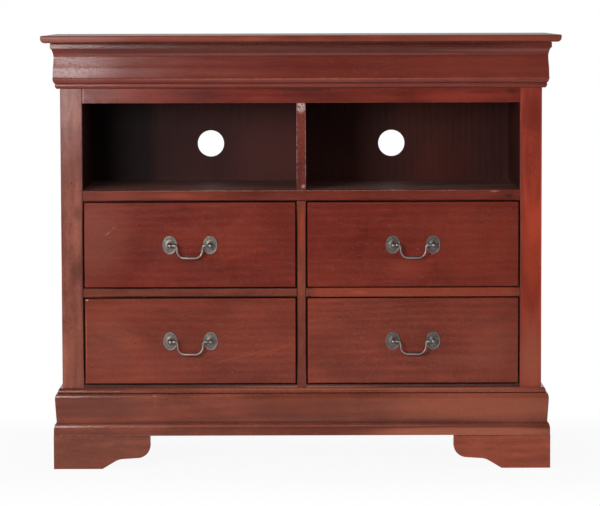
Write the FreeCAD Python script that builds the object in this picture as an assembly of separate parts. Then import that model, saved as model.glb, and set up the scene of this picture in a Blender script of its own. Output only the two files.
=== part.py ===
import FreeCAD
import Part
import math
import os

# Media chest: two open media bays over four inset drawers, under a moulded
# crown and a solid top, on a moulded base with four bracket feet.
# Millimetres. X to the right, the face looks towards -Y, Z up.
# The origin is on the floor, under the middle of the top board.

# Top board
top_width = 1061.0
top_depth = 406.0
top_thickness = 15.0
top_front_overhang = 40.0
top_side_overhang = 36.5
top_upper_round = 2.5
top_under_round = 9.0

# Heights, from the floor up
foot_height = 68.6
base_height = 97.0
bottom_rail_reveal = 7.3
lower_opening_height = 180.9
drawer_rail_height = 18.6
upper_opening_height = 179.5
shelf_rail_height = 22.1
bay_height = 179.2
top_rail_reveal = 30.6
crown_height = 93.2

# Face frame
frame_thickness = 20.0
stile_width = 44.3
centre_stile_width = 18.6
stile_tenon_drop = 36.0
edge_ease = 0.8

# Case panels
side_thickness = 19.0
back_thickness = 6.0
back_inset = 4.0
back_rebate = 8.0
shelf_thickness = 16.0
bottom_thickness = 16.0
ceiling_thickness = 12.0
divider_thickness = 19.0
lining_thickness = 12.0
cable_hole_diameter = 57.0
cable_hole_offset = 195.5
cable_hole_rise = 80.6

# Crown and base mouldings
crown_projection = 18.5
base_projection = 17.6

# Bracket feet
foot_board_thickness = 18.0
front_bracket_length = 199.4
front_pad_width = 100.2
side_bracket_length = 148.0
side_pad_width = 76.0
rear_brace_length = 150.0
rear_brace_edge = 30.0
corner_block_width = 40.0
corner_block_lift = 2.0

# Drawer runners
runner_height = 16.0
runner_ledge = 16.0
guide_rise = 12.0

# Drawers
drawer_side_gap = 3.0
drawer_top_gap = 2.7
drawer_bottom_gap = 2.0
drawer_guide_play = 0.5
drawer_running_gap = 0.3
drawer_back_clearance = 16.0
drawer_front_thickness = 20.0
drawer_front_ease = 1.4
drawer_side_thickness = 12.5
drawer_side_height = 150.0
drawer_back_thickness = 12.5
drawer_back_drop = 6.0
drawer_bottom_thickness = 5.0
drawer_bottom_rise = 12.0
groove_depth = 6.0
groove_play = 0.2

# Dovetails
dovetail_lap = 6.0
dovetail_slope = 9.0
tail_count = 4
tail_root_share = 0.56

# Drawer pulls
pull_spacing = 83.0
rosette_width = 29.6
rosette_height = 38.2
rosette_rim_thickness = 2.4
rosette_dish_thickness = 1.5
rosette_boss_thickness = 3.2
rosette_boss_radius = 6.2
shank_radius = 2.0
shank_clearance = 0.3
collar_radius = 5.0
collar_thickness = 1.3
neck_radius = 2.8
ball_radius = 4.6
ball_reach = 15.0
nut_across = 7.0
nut_sides = 6
nut_thickness = 3.0
shank_overhang = 2.0
bail_drop = 26.0
bail_arm_offset = 26.5
bail_grip_offset = 25.0
bail_wire_radius = 1.8
bail_shoulder_radius = 4.5
bail_corner_radius = 10.5
bail_grip_radius = 2.45
bail_swell_length = 28.0
bail_pin_radius = 1.5
pin_running_clearance = 0.05
pin_end_gap = 0.5
bore_past_centre = 1.0
knuckle_gap = 0.3

# Cutting tools run this far past what they cut
overrun = 5.0

# Flats round each small turned or bent piece, and steps along its curves
rosette_sides = 18
post_sides = 10
ball_steps = 3
bail_sides = 8
bend_steps = 4
swell_shares = (-1.0, -0.5, 0.0, 0.5, 1.0)

# Places worked out from the sizes
half_top = top_width / 2
half_case = half_top - top_side_overhang
y_back = top_depth / 2
y_top_front = -top_depth / 2
y_face = y_top_front + top_front_overhang
y_frame_back = y_face + frame_thickness
y_panel_back = y_back - back_inset
y_panel_front = y_panel_back - back_thickness
z_base_top = foot_height + base_height
z_lower_opening = z_base_top + bottom_rail_reveal
z_drawer_rail = z_lower_opening + lower_opening_height
z_upper_opening = z_drawer_rail + drawer_rail_height
z_shelf_rail = z_upper_opening + upper_opening_height
z_shelf_top = z_shelf_rail + shelf_rail_height
z_bay_top = z_shelf_top + bay_height
z_crown = z_bay_top + top_rail_reveal
z_case_top = z_crown + crown_height
z_case_bottom_top = z_lower_opening - runner_height
x_stile_inner = half_case - stile_width
x_side_inner = half_case - side_thickness
half_centre = centre_stile_width / 2
half_divider = divider_thickness / 2
half_partition = half_centre + drawer_side_gap - drawer_guide_play
drawer_outer = x_stile_inner - drawer_side_gap
drawer_inner = half_centre + drawer_side_gap
mitre_reach = max(crown_projection, base_projection, foot_board_thickness) + overrun

# Profiles of the mouldings: a line goes to its point, an arc goes through its
# first point to its second. Each point is a share of the projection and height.
crown_profile_shares = [
    ("line", (0.93, 1.0)),
    ("line", (1.0, 0.972)),
    ("line", (1.0, 0.880)),
    ("arc", (0.714, 0.791), (0.627, 0.710)),
    ("line", (0.620, 0.700)),
    ("arc", (0.66, 0.56), (0.715, 0.44)),
    ("line", (0.735, 0.265)),
    ("arc", (0.742, 0.236), (0.775, 0.218)),
    ("arc", (0.700, 0.163), (0.486, 0.112)),
    ("line", (0.520, 0.096)),
    ("line", (0.520, 0.050)),
    ("arc", (0.42, 0.015), (0.20, 0.0)),
]
base_profile_shares = [
    ("line", (0.20, 1.0)),
    ("arc", (0.45, 0.978), (0.530, 0.935)),
    ("line", (0.530, 0.915)),
    ("line", (0.490, 0.900)),
    ("line", (0.600, 0.880)),
    ("arc", (0.79, 0.855), (0.855, 0.800)),
    ("line", (0.855, 0.778)),
    ("arc", (0.770, 0.52), (0.672, 0.265)),
    ("line", (0.705, 0.252)),
    ("arc", (0.915, 0.220), (1.0, 0.148)),
    ("line", (1.0, 0.0)),
]

# Lower edge of a foot bracket, from the floor to its inner end, as shares of
# the bracket's length and the foot's height.
bracket_edge_shares = [
    ("line", (0.636, 0.230)),
    ("arc", (0.6695, 0.274), (0.706, 0.2975)),
    ("line", (0.880, 0.329)),
    ("arc", (0.966, 0.462), (1.0, 0.777)),
    ("line", (1.0, 1.0)),
]

# Face of a rosette, from its edge to its boss, as shares of its half height.
rosette_rim_shares = (0.965, 0.905)
rosette_dish_share = 0.84


def box(x0, x1, y0, y1, z0, z1):
    """Block between two corners given in any order."""
    low = FreeCAD.Vector(min(x0, x1), min(y0, y1), min(z0, z1))
    return Part.makeBox(abs(x1 - x0), abs(y1 - y0), abs(z1 - z0), low)


def board(x0, x1, y0, y1, z0, z1, ease=edge_ease):
    """Block whose front face has its four edges eased."""
    blank = box(x0, x1, y0, y1, z0, z1)
    front = min(y0, y1)
    edges = [e for e in blank.Edges if all(abs(v.Y - front) < edge_ease / 2 for v in e.Vertexes)]
    return blank.makeChamfer(ease, edges)


def profile_edges(start, segments, place):
    """Edges of an open outline that starts at a point and follows its segments."""
    edges = []
    here = start
    for kind, *points in segments:
        there = place(*points[-1])
        if kind == "arc":
            edges.append(Part.Arc(here, place(*points[0]), there).toShape())
        else:
            edges.append(Part.LineSegment(here, there).toShape())
        here = there
    return edges, here


def closed_face(edges, corners):
    """Flat face of an open outline closed by straight edges through corners."""
    closing = [Part.LineSegment(a, b).toShape() for a, b in zip(corners, corners[1:])]
    return Part.Face(Part.Wire(edges + closing))


def ring(centre, u, v, radius_u, radius_v, sides):
    """Corners of a flat oval ring about a centre, in the plane of two directions."""
    angles = [2 * math.pi * number / sides for number in range(sides)]
    return [centre + u * (radius_u * math.cos(a)) + v * (radius_v * math.sin(a)) for a in angles]


def skin(rings):
    """Solid whose faceted wall joins each ring to the next, with flat ends."""
    outlines = [rings[0][::-1], rings[-1]]
    for here, there in zip(rings, rings[1:]):
        for k in range(len(here)):
            outlines.append([here[k - 1], here[k], there[k], there[k - 1]])
    faces = [Part.Face(Part.makePolygon(points + points[:1])) for points in outlines]
    solid = Part.Solid(Part.Shell(faces))
    if solid.Volume < 0:
        solid.reverse()
    return solid


def turned(stations, sides, squash=1.0):
    """Solid turned about the Y axis through radii at distances out from the face."""
    u = FreeCAD.Vector(1, 0, 0)
    v = FreeCAD.Vector(0, 0, 1)
    rings = [ring(FreeCAD.Vector(0, -out, 0), u, v, r * squash, r, sides) for r, out in stations]
    return skin(rings)


def bend_stations(before, corner, after, radius):
    """Points and directions along the arc that rounds one corner of a path."""
    ahead = (corner - before).normalize()
    onward = (after - corner).normalize()
    axis = ahead.cross(onward).normalize()
    turn = ahead.getAngle(onward)
    start = corner - ahead * (radius * math.tan(turn / 2))
    centre = start + axis.cross(ahead) * radius
    stations = []
    for step in range(bend_steps + 1):
        spin = FreeCAD.Rotation(axis, math.degrees(turn * step / bend_steps))
        stations.append((centre + spin.multVec(start - centre), spin.multVec(ahead)))
    return stations


def front_sector():
    """Space in front of the case, ending at the mitre planes of its corners."""
    corners = [
        FreeCAD.Vector(-half_case, y_face, 0),
        FreeCAD.Vector(half_case, y_face, 0),
        FreeCAD.Vector(half_case + mitre_reach, y_face - mitre_reach, 0),
        FreeCAD.Vector(-half_case - mitre_reach, y_face - mitre_reach, 0),
    ]
    plan = Part.Face(Part.makePolygon(corners + corners[:1]))
    return plan.extrude(FreeCAD.Vector(0, 0, z_case_top))


def side_sector(side):
    """Space beside the case, from the mitre plane to its back."""
    corners = [
        FreeCAD.Vector(side * half_case, y_face, 0),
        FreeCAD.Vector(side * (half_case + mitre_reach), y_face - mitre_reach, 0),
        FreeCAD.Vector(side * (half_case + mitre_reach), y_back, 0),
        FreeCAD.Vector(side * half_case, y_back, 0),
    ]
    plan = Part.Face(Part.makePolygon(corners + corners[:1]))
    return plan.extrude(FreeCAD.Vector(0, 0, z_case_top))


def front_moulding(shares, projection, height, z_foot):
    """Moulding along the front of the case, mitred at both ends."""
    reach = half_case + projection + overrun

    def place(out, up):
        return FreeCAD.Vector(-reach, y_face - out * projection, z_foot + up * height)

    edges, last = profile_edges(place(0, 1), shares, place)
    face = closed_face(edges, [last, place(0, 0), place(0, 1)])
    bar = face.extrude(FreeCAD.Vector(2 * reach, 0, 0))
    return bar.common(front_sector())


def side_moulding(side, shares, projection, height, z_foot):
    """Moulding along one side of the case, mitred to the front one."""
    y_start = y_face - projection - overrun

    def place(out, up):
        return FreeCAD.Vector(side * (half_case + out * projection), y_start, z_foot + up * height)

    edges, last = profile_edges(place(0, 1), shares, place)
    face = closed_face(edges, [last, place(0, 0), place(0, 1)])
    bar = face.extrude(FreeCAD.Vector(0, y_back - y_start, 0))
    return bar.common(side_sector(side))


def make_top_board():
    """Top board with its upper arris eased and its under edge rounded on three sides."""
    slab = box(-half_top, half_top, y_top_front, y_back, z_case_top, z_case_top + top_thickness)

    def rim(shape, z):
        found = []
        for edge in shape.Edges:
            level = all(abs(v.Z - z) < edge_ease for v in edge.Vertexes)
            rear = all(abs(v.Y - y_back) < edge_ease for v in edge.Vertexes)
            if level and not rear:
                found.append(edge)
        return found

    slab = slab.makeFillet(top_under_round, rim(slab, z_case_top))
    return slab.makeFillet(top_upper_round, rim(slab, z_case_top + top_thickness))


def make_stile(side):
    """Upright of the face frame at one corner of the case."""
    return board(side * x_stile_inner, side * half_case, y_face, y_frame_back, foot_height, z_case_top)


def make_top_rail():
    """Rail over the bays, whose upper part backs the crown."""
    return board(-x_stile_inner, x_stile_inner, y_face, y_frame_back, z_bay_top, z_case_top)


def make_shelf_rail():
    """Rail between the bays and the upper drawers."""
    return board(-x_stile_inner, x_stile_inner, y_face, y_frame_back, z_shelf_rail, z_shelf_top)


def make_centre_stile():
    """Upright between the drawers, let into the bottom rail at its foot."""
    z_foot = z_lower_opening - stile_tenon_drop
    return board(-half_centre, half_centre, y_face, y_frame_back, z_foot, z_shelf_rail)


def make_drawer_rails():
    """Two short rails between the upper and the lower drawers."""
    rails = []
    for side in (-1, 1):
        inner = side * half_centre
        outer = side * x_stile_inner
        rails.append(board(inner, outer, y_face, y_frame_back, z_drawer_rail, z_upper_opening))
    return Part.makeCompound(rails)


def make_bottom_rail():
    """Rail behind the base moulding, notched for the centre stile."""
    rail = board(-x_stile_inner, x_stile_inner, y_face, y_frame_back, foot_height, z_lower_opening)
    z_notch = z_lower_opening - stile_tenon_drop
    y_notch = (y_face - overrun, y_frame_back + overrun)
    notch = box(-half_centre, half_centre, *y_notch, z_notch, z_lower_opening + overrun)
    return rail.cut(notch)


def make_side_panel(side):
    """Side of the case, rebated for the back panel."""
    panel = box(side * x_side_inner, side * half_case, y_frame_back, y_back, foot_height, z_case_top)
    x_rebate = side * (x_side_inner + back_rebate)
    x_clear = side * (x_side_inner - overrun)
    z_rebate = (foot_height - overrun, z_case_top + overrun)
    rebate = box(x_clear, x_rebate, y_panel_front, y_back + overrun, *z_rebate)
    return panel.cut(rebate)


def make_back_panel():
    """Back panel with a round cable hole behind each bay."""
    half = x_side_inner + back_rebate
    panel = box(-half, half, y_panel_front, y_panel_back, foot_height, z_case_top)
    z_hole = z_shelf_top + cable_hole_rise
    for side in (-1, 1):
        centre = FreeCAD.Vector(side * cable_hole_offset, y_panel_front - overrun, z_hole)
        length = back_thickness + 2 * overrun
        hole = Part.makeCylinder(cable_hole_diameter / 2, length, centre, FreeCAD.Vector(0, 1, 0))
        panel = panel.cut(hole)
    return panel


def make_media_shelf():
    """Board that floors the bays and covers the upper drawers."""
    z_low = z_shelf_top - shelf_thickness
    return box(-x_side_inner, x_side_inner, y_frame_back, y_panel_front, z_low, z_shelf_top)


def make_bay_ceiling():
    """Board over the bays."""
    z_high = z_bay_top + ceiling_thickness
    return box(-x_side_inner, x_side_inner, y_frame_back, y_panel_front, z_bay_top, z_high)


def make_bay_divider():
    """Upright board between the bays, its front edge level with the face."""
    return board(-half_divider, half_divider, y_face, y_panel_front, z_shelf_top, z_bay_top)


def make_bay_linings():
    """Outer walls of the two bays, level with the stiles."""
    walls = []
    for side in (-1, 1):
        x0 = side * x_stile_inner
        x1 = side * (x_stile_inner + lining_thickness)
        walls.append(box(x0, x1, y_frame_back, y_panel_front, z_shelf_top, z_bay_top))
    return Part.makeCompound(walls)


def make_centre_partition():
    """Upright panel between the left and the right drawers."""
    z_low = z_case_bottom_top
    z_high = z_shelf_top - shelf_thickness
    return box(-half_partition, half_partition, y_frame_back, y_panel_front, z_low, z_high)


def make_case_bottom():
    """Board under the lower drawers."""
    z_low = z_case_bottom_top - bottom_thickness
    return box(-x_side_inner, x_side_inner, y_frame_back, y_panel_front, z_low, z_case_bottom_top)


def make_runner(side, z_top, outer):
    """Ledge that carries one side of a drawer; the outer one has a guide fence."""
    z_low = z_top - runner_height
    if outer:
        x_wall = side * x_side_inner
        x_edge = side * (drawer_outer - runner_ledge)
        x_fence = side * (drawer_outer + drawer_guide_play)
        ledge = box(x_wall, x_edge, y_frame_back, y_panel_front, z_low, z_top)
        fence = box(x_wall, x_fence, y_frame_back, y_panel_front, z_low, z_top + guide_rise)
        return ledge.fuse(fence).removeSplitter()
    x_wall = side * half_partition
    x_edge = side * (drawer_inner + runner_ledge)
    return box(x_wall, x_edge, y_frame_back, y_panel_front, z_low, z_top)


def make_drawer_runners():
    """Eight runners, two under each drawer."""
    runners = []
    for z_top in (z_lower_opening, z_upper_opening):
        for side in (-1, 1):
            for outer in (True, False):
                runners.append(make_runner(side, z_top, outer))
    return Part.makeCompound(runners)


def bracket_profile(place, length, pad):
    """Face of a foot bracket: pad, ogee lower edge and square inner end."""
    start = place(pad, 0)

    def share_place(along, up):
        return place(along * length, up * foot_height)

    edges, last = profile_edges(start, bracket_edge_shares, share_place)
    return closed_face(edges, [last, place(0, foot_height), place(0, 0), start])


def make_front_foot(side):
    """Front foot: two mitred ogee brackets and the corner block behind them."""
    x_corner = side * (half_case + foot_board_thickness)
    y_corner = y_face - foot_board_thickness

    def front_place(along, up):
        return FreeCAD.Vector(x_corner - side * along, y_corner, up)

    def side_place(along, up):
        return FreeCAD.Vector(side * half_case, y_corner + along, up)

    front = bracket_profile(front_place, front_bracket_length, front_pad_width)
    front = front.extrude(FreeCAD.Vector(0, foot_board_thickness, 0))
    flank = bracket_profile(side_place, side_bracket_length, side_pad_width)
    flank = flank.extrude(FreeCAD.Vector(side * foot_board_thickness, 0, 0))
    block = box(
        side * half_case, side * (half_case - corner_block_width),
        y_face, y_face + corner_block_width,
        corner_block_lift, foot_height,
    )
    pieces = [front.common(front_sector()), flank.common(side_sector(side)), block]
    return Part.makeCompound(pieces)


def make_rear_foot(side):
    """Rear foot: ogee side bracket, plain tapered brace and corner block."""

    def side_place(along, up):
        return FreeCAD.Vector(side * half_case, y_back - along, up)

    flank = bracket_profile(side_place, side_bracket_length, side_pad_width)
    flank = flank.extrude(FreeCAD.Vector(side * foot_board_thickness, 0, 0))
    x_wall = side * half_case
    z_edge = foot_height - rear_brace_edge
    corners = [
        FreeCAD.Vector(x_wall, y_back, 0),
        FreeCAD.Vector(x_wall - side * (front_pad_width - foot_board_thickness), y_back, 0),
        FreeCAD.Vector(x_wall - side * rear_brace_length, y_back, z_edge),
        FreeCAD.Vector(x_wall - side * rear_brace_length, y_back, foot_height),
        FreeCAD.Vector(x_wall, y_back, foot_height),
    ]
    outline = Part.Face(Part.makePolygon(corners + corners[:1]))
    brace = outline.extrude(FreeCAD.Vector(0, -foot_board_thickness, 0))
    y_block = y_back - foot_board_thickness
    block = box(
        x_wall, x_wall - side * corner_block_width,
        y_block, y_block - corner_block_width,
        corner_block_lift, foot_height,
    )
    return Part.makeCompound([flank, brace, block])


def tails(x0, x1, y_root, y_tip, z0, z1):
    """Row of dovetail tails across the thickness of a drawer side."""
    pitch = (z1 - z0) / tail_count
    root = pitch * tail_root_share / 2
    tip = root + abs(y_tip - y_root) * math.tan(math.radians(dovetail_slope))
    found = []
    for number in range(tail_count):
        z = z0 + pitch * number + pitch / 2
        corners = [
            FreeCAD.Vector(x0, y_root, z - root),
            FreeCAD.Vector(x0, y_root, z + root),
            FreeCAD.Vector(x0, y_tip, z + tip),
            FreeCAD.Vector(x0, y_tip, z - tip),
        ]
        face = Part.Face(Part.makePolygon(corners + corners[:1]))
        found.append(face.extrude(FreeCAD.Vector(x1 - x0, 0, 0)))
    return Part.makeCompound(found)


class Drawer:
    """One dovetailed drawer with its bail pull, at its place in the case."""

    def __init__(self, side, z_opening, opening_height):
        self.side = side
        self.x0 = min(side * drawer_inner, side * drawer_outer)
        self.x1 = max(side * drawer_inner, side * drawer_outer)
        self.z_front = z_opening + drawer_bottom_gap
        self.z_front_top = z_opening + opening_height - drawer_top_gap
        self.z_side = z_opening + drawer_running_gap
        self.z_side_top = self.z_side + drawer_side_height
        self.y_inner = y_face + drawer_front_thickness
        self.y_rear = y_panel_front - drawer_back_clearance
        self.y_back_front = self.y_rear - drawer_back_thickness
        self.z_panel = self.z_side + drawer_bottom_rise
        self.z_panel_top = self.z_panel + drawer_bottom_thickness
        self.z_back_top = self.z_side_top - drawer_back_drop
        self.x_pull = (self.x0 + self.x1) / 2
        self.z_pull = (self.z_front + self.z_front_top) / 2

    def panel_box(self, play):
        """Space of the bottom panel, let out on all sides by a play."""
        inset = drawer_side_thickness - groove_depth
        return box(
            self.x0 + inset - play, self.x1 - inset + play,
            self.y_inner - groove_depth - play, self.y_rear + play,
            self.z_panel - play, self.z_panel_top + play,
        )

    def bottom(self):
        """Thin bottom panel, held in grooves of the sides and the front."""
        return self.panel_box(0)

    def side_board(self, x_outer, x_inner):
        """Side board with tails at both ends and a groove for the bottom."""
        blank = box(x_outer, x_inner, y_face + dovetail_lap, self.y_rear, self.z_side, self.z_side_top)
        lap = (y_face + dovetail_lap, self.y_inner)
        front_zone = box(x_outer, x_inner, *lap, self.z_side, self.z_side_top)
        front_tails = tails(x_outer, x_inner, lap[1], lap[0], self.z_side, self.z_side_top)
        rear = (self.y_back_front, self.y_rear)
        z_rear = (self.z_panel_top + groove_play, self.z_back_top)
        rear_zone = box(x_outer, x_inner, *rear, *z_rear)
        rear_tails = tails(x_outer, x_inner, *rear, *z_rear)
        blank = blank.cut(front_zone.cut(front_tails))
        blank = blank.cut(rear_zone.cut(rear_tails))
        return blank.cut(self.panel_box(groove_play))

    def left_side(self):
        """Side board at the lower X."""
        return self.side_board(self.x0, self.x0 + drawer_side_thickness)

    def right_side(self):
        """Side board at the higher X."""
        return self.side_board(self.x1, self.x1 - drawer_side_thickness)

    def back(self):
        """Back board between the tails of the sides, over the bottom panel."""
        z_low = self.z_panel_top + groove_play
        blank = box(self.x0, self.x1, self.y_back_front, self.y_rear, z_low, self.z_back_top)
        return blank.cut(self.left_side()).cut(self.right_side())

    def front(self):
        """Flat front with half-blind sockets for the sides and holes for the pull."""
        slab = box(self.x0, self.x1, y_face, self.y_inner, self.z_front, self.z_front_top)
        limit = edge_ease / 2
        rim = [e for e in slab.Edges if all(abs(v.Y - y_face) < limit for v in e.Vertexes)]
        slab = slab.makeChamfer(drawer_front_ease, rim)
        slab = slab.cut(self.left_side()).cut(self.right_side())
        slab = slab.cut(self.panel_box(groove_play))
        for end in (-1, 1):
            slab = slab.cut(self.shank_hole(end, y_face - overrun, self.y_inner + overrun))
        return slab

    def post_axis(self, end, y):
        """Point on the axis of one post of the pull."""
        return FreeCAD.Vector(self.x_pull + end * pull_spacing / 2, y, self.z_pull)

    def shank_hole(self, end, y0, y1):
        """Space of the faceted hole for the shank of one post."""
        radius = (shank_radius + shank_clearance) / math.cos(math.pi / post_sides)
        hole = turned([(radius, -y1), (radius, -y0)], post_sides)
        hole.translate(self.post_axis(end, 0))
        return hole

    def rosette(self, end):
        """Oval dished plate with a raised rim and a boss, bored for the shank."""
        radius = rosette_height / 2
        rim_outer, rim_inner = (share * radius for share in rosette_rim_shares)
        stations = [
            (radius, 0),
            (radius, rosette_dish_thickness),
            (rim_outer, rosette_rim_thickness),
            (rim_inner, rosette_rim_thickness),
            (rosette_dish_share * radius, rosette_dish_thickness),
            (rosette_boss_radius, rosette_rim_thickness),
            (rosette_boss_radius - rosette_rim_thickness / 2, rosette_boss_thickness),
        ]
        plate = turned(stations, rosette_sides, rosette_width / rosette_height)
        plate.translate(self.post_axis(end, y_face))
        return plate.cut(self.shank_hole(end, y_face - rosette_boss_thickness - overrun, y_face + overrun))

    def rosettes(self):
        """Both rosettes of the pull."""
        return Part.makeCompound([self.rosette(end) for end in (-1, 1)])

    def post(self, end):
        """Turned post: threaded shank, collar, neck and a ball bored for the bail."""
        collar = rosette_boss_thickness
        collar_top = collar + collar_thickness
        tail = -(drawer_front_thickness + nut_thickness + shank_overhang)
        root_angle = math.asin(neck_radius / ball_radius)
        stations = [
            (shank_radius, tail),
            (shank_radius, collar),
            (collar_radius, collar),
            (collar_radius, collar_top),
            (neck_radius, collar_top + (collar_radius - neck_radius) / 2),
        ]
        for step in range(ball_steps + 1):
            angle = root_angle + (math.pi - 2 * root_angle) * step / ball_steps
            reach = ball_reach - ball_radius * math.cos(angle)
            stations.append((ball_radius * math.sin(angle), reach))
        stations.append((shank_radius / 2, ball_reach + ball_radius))
        body = turned(stations, post_sides)
        body.translate(self.post_axis(end, y_face))
        bore_start = self.post_axis(end, y_face - ball_reach) + FreeCAD.Vector(end * bore_past_centre, 0, 0)
        bore_radius = bail_pin_radius + pin_running_clearance
        bore_length = bore_past_centre + ball_radius + overrun
        bore = Part.makeCylinder(bore_radius, bore_length, bore_start, FreeCAD.Vector(-end, 0, 0))
        return body.cut(bore)

    def nut(self, end):
        """Nut on the shank, against the inside of the front."""
        corner_radius = nut_across / 2 / math.cos(math.pi / nut_sides)
        centre = self.post_axis(end, self.y_inner)
        corners = []
        for number in range(nut_sides):
            angle = 2 * math.pi * number / nut_sides
            offset = FreeCAD.Vector(corner_radius * math.cos(angle), 0, corner_radius * math.sin(angle))
            corners.append(centre + offset)
        outline = Part.Face(Part.makePolygon(corners + corners[:1]))
        return outline.extrude(FreeCAD.Vector(0, nut_thickness, 0)).cut(self.post(end))

    def posts(self):
        """Both posts of the pull with their nuts."""
        return Part.makeCompound([piece(end) for end in (-1, 1) for piece in (self.post, self.nut)])

    def bail(self):
        """Swan-neck bail: wire with a swelled grip and a pin in each ball."""
        y = y_face - ball_reach
        half = pull_spacing / 2
        x_shoulder = half - ball_radius - knuckle_gap
        corners = [
            (-x_shoulder, 0),
            (-bail_arm_offset, 0),
            (-bail_grip_offset, -bail_drop),
            (bail_grip_offset, -bail_drop),
            (bail_arm_offset, 0),
            (x_shoulder, 0),
        ]
        points = [FreeCAD.Vector(self.x_pull + x, y, self.z_pull + z) for x, z in corners]
        along = FreeCAD.Vector(1, 0, 0)
        radii = [bail_shoulder_radius, bail_corner_radius, bail_corner_radius, bail_shoulder_radius]
        bends = [
            bend_stations(before, corner, after, radius)
            for before, corner, after, radius in zip(points, points[1:], points[2:], radii)
        ]
        path = [(points[0], along)] + bends[0] + bends[1] + bends[2] + bends[3] + [(points[-1], along)]
        rings = [self.wire_ring(point, ahead, bail_wire_radius) for point, ahead in path]
        half_way = len(rings) // 2
        middle = (points[2] + points[3]) / 2
        swell = []
        for share in swell_shares:
            radius = bail_wire_radius + (bail_grip_radius - bail_wire_radius) * (1 - share ** 2)
            swell.append(self.wire_ring(middle + along * (share * bail_swell_length / 2), along, radius))
        solid = skin(rings[:half_way] + swell + rings[half_way:])
        for end in (-1, 1):
            start = FreeCAD.Vector(self.x_pull + end * x_shoulder, y, self.z_pull)
            length = ball_radius + knuckle_gap + bore_past_centre - pin_end_gap
            solid = solid.fuse(Part.makeCylinder(bail_pin_radius, length, start, along * end))
        return solid

    def wire_ring(self, point, ahead, radius):
        """Ring round the bail's wire, square to its direction."""
        u = FreeCAD.Vector(0, 1, 0)
        return ring(point, u, ahead.cross(u), radius, radius, bail_sides)


def case_pieces():
    """Every fixed piece of the chest by node name."""
    crown = (crown_profile_shares, crown_projection, crown_height, z_crown)
    base = (base_profile_shares, base_projection, base_height, foot_height)
    pieces = {
        "top_board": make_top_board(),
        "crown_front": front_moulding(*crown),
        "base_front": front_moulding(*base),
        "top_rail": make_top_rail(),
        "shelf_rail": make_shelf_rail(),
        "centre_stile": make_centre_stile(),
        "drawer_rails": make_drawer_rails(),
        "bottom_rail": make_bottom_rail(),
        "back_panel": make_back_panel(),
        "bay_ceiling": make_bay_ceiling(),
        "bay_divider": make_bay_divider(),
        "bay_linings": make_bay_linings(),
        "media_shelf": make_media_shelf(),
        "centre_partition": make_centre_partition(),
        "case_bottom": make_case_bottom(),
        "drawer_runners": make_drawer_runners(),
    }
    for name, side in (("left", -1), ("right", 1)):
        pieces[f"crown_{name}"] = side_moulding(side, *crown)
        pieces[f"base_{name}"] = side_moulding(side, *base)
        pieces[f"stile_{name}"] = make_stile(side)
        pieces[f"side_panel_{name}"] = make_side_panel(side)
        pieces[f"front_foot_{name}"] = make_front_foot(side)
        pieces[f"rear_foot_{name}"] = make_rear_foot(side)
    return pieces


def drawer_pieces():
    """Every piece of the four drawers by node name."""
    rows = (
        ("upper", z_upper_opening, upper_opening_height),
        ("lower", z_lower_opening, lower_opening_height),
    )
    pieces = {}
    for row, z_opening, height in rows:
        for name, side in (("left", -1), ("right", 1)):
            drawer = Drawer(side, z_opening, height)
            stem = f"{row}_{name}_drawer"
            pieces[f"{stem}_front"] = drawer.front()
            pieces[f"{stem}_left_side"] = drawer.left_side()
            pieces[f"{stem}_right_side"] = drawer.right_side()
            pieces[f"{stem}_back"] = drawer.back()
            pieces[f"{stem}_bottom"] = drawer.bottom()
            pieces[f"{stem}_rosettes"] = drawer.rosettes()
            pieces[f"{stem}_posts"] = drawer.posts()
            pieces[f"{row}_{name}_bail"] = drawer.bail()
    return pieces


def main():
    """Write each piece to its own file and print what it holds."""
    os.makedirs("parts", exist_ok=True)
    pieces = {**case_pieces(), **drawer_pieces()}
    for name, shape in pieces.items():
        shape.exportStep(f"parts/{name}.step")
        print(name, len(shape.Solids), round(shape.Volume), shape.isValid())


main()
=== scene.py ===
"""Looks of the media chest: wood, mouldings, pulls, fastenings, studio and camera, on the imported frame."""
from __future__ import annotations

import logging
import math
from dataclasses import dataclass, field, replace
from enum import Enum
from typing import Any, Callable, ClassVar, Sequence, Union

import bmesh
import bpy
from mathutils import Matrix, Vector


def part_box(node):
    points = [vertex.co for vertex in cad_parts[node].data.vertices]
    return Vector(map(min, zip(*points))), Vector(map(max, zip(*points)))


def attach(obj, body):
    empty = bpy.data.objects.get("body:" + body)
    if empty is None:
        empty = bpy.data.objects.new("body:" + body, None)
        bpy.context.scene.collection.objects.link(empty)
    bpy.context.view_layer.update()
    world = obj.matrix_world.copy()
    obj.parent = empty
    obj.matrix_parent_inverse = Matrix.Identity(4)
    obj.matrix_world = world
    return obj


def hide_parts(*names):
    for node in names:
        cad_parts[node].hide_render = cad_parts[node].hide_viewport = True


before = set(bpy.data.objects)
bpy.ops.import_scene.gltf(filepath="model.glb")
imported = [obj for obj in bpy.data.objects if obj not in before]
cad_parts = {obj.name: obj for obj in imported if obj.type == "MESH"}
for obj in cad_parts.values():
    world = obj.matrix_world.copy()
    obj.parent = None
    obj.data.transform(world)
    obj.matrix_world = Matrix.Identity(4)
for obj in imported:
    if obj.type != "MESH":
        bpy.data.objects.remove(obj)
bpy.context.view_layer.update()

log = logging.getLogger("media_chest")
logging.basicConfig(level=logging.INFO, format="%(message)s")

MM = 0.001
Colour = tuple[float, float, float]
Screen = tuple[int, int, int]
Point2 = tuple[float, float]
Point3 = tuple[float, float, float]
Station = tuple[float, float, float]

HALF = 0.5  # mean of a noise, and middle of a ramp
BEVEL_SAMPLES = 4
WHITE = (1.0, 1.0, 1.0)
RELIEF = "relief"  # attribute for how far a point stands proud (to 1) or lies deep (to -1)
BEND = "bend"  # attribute for the radius at a corner of a path


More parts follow.
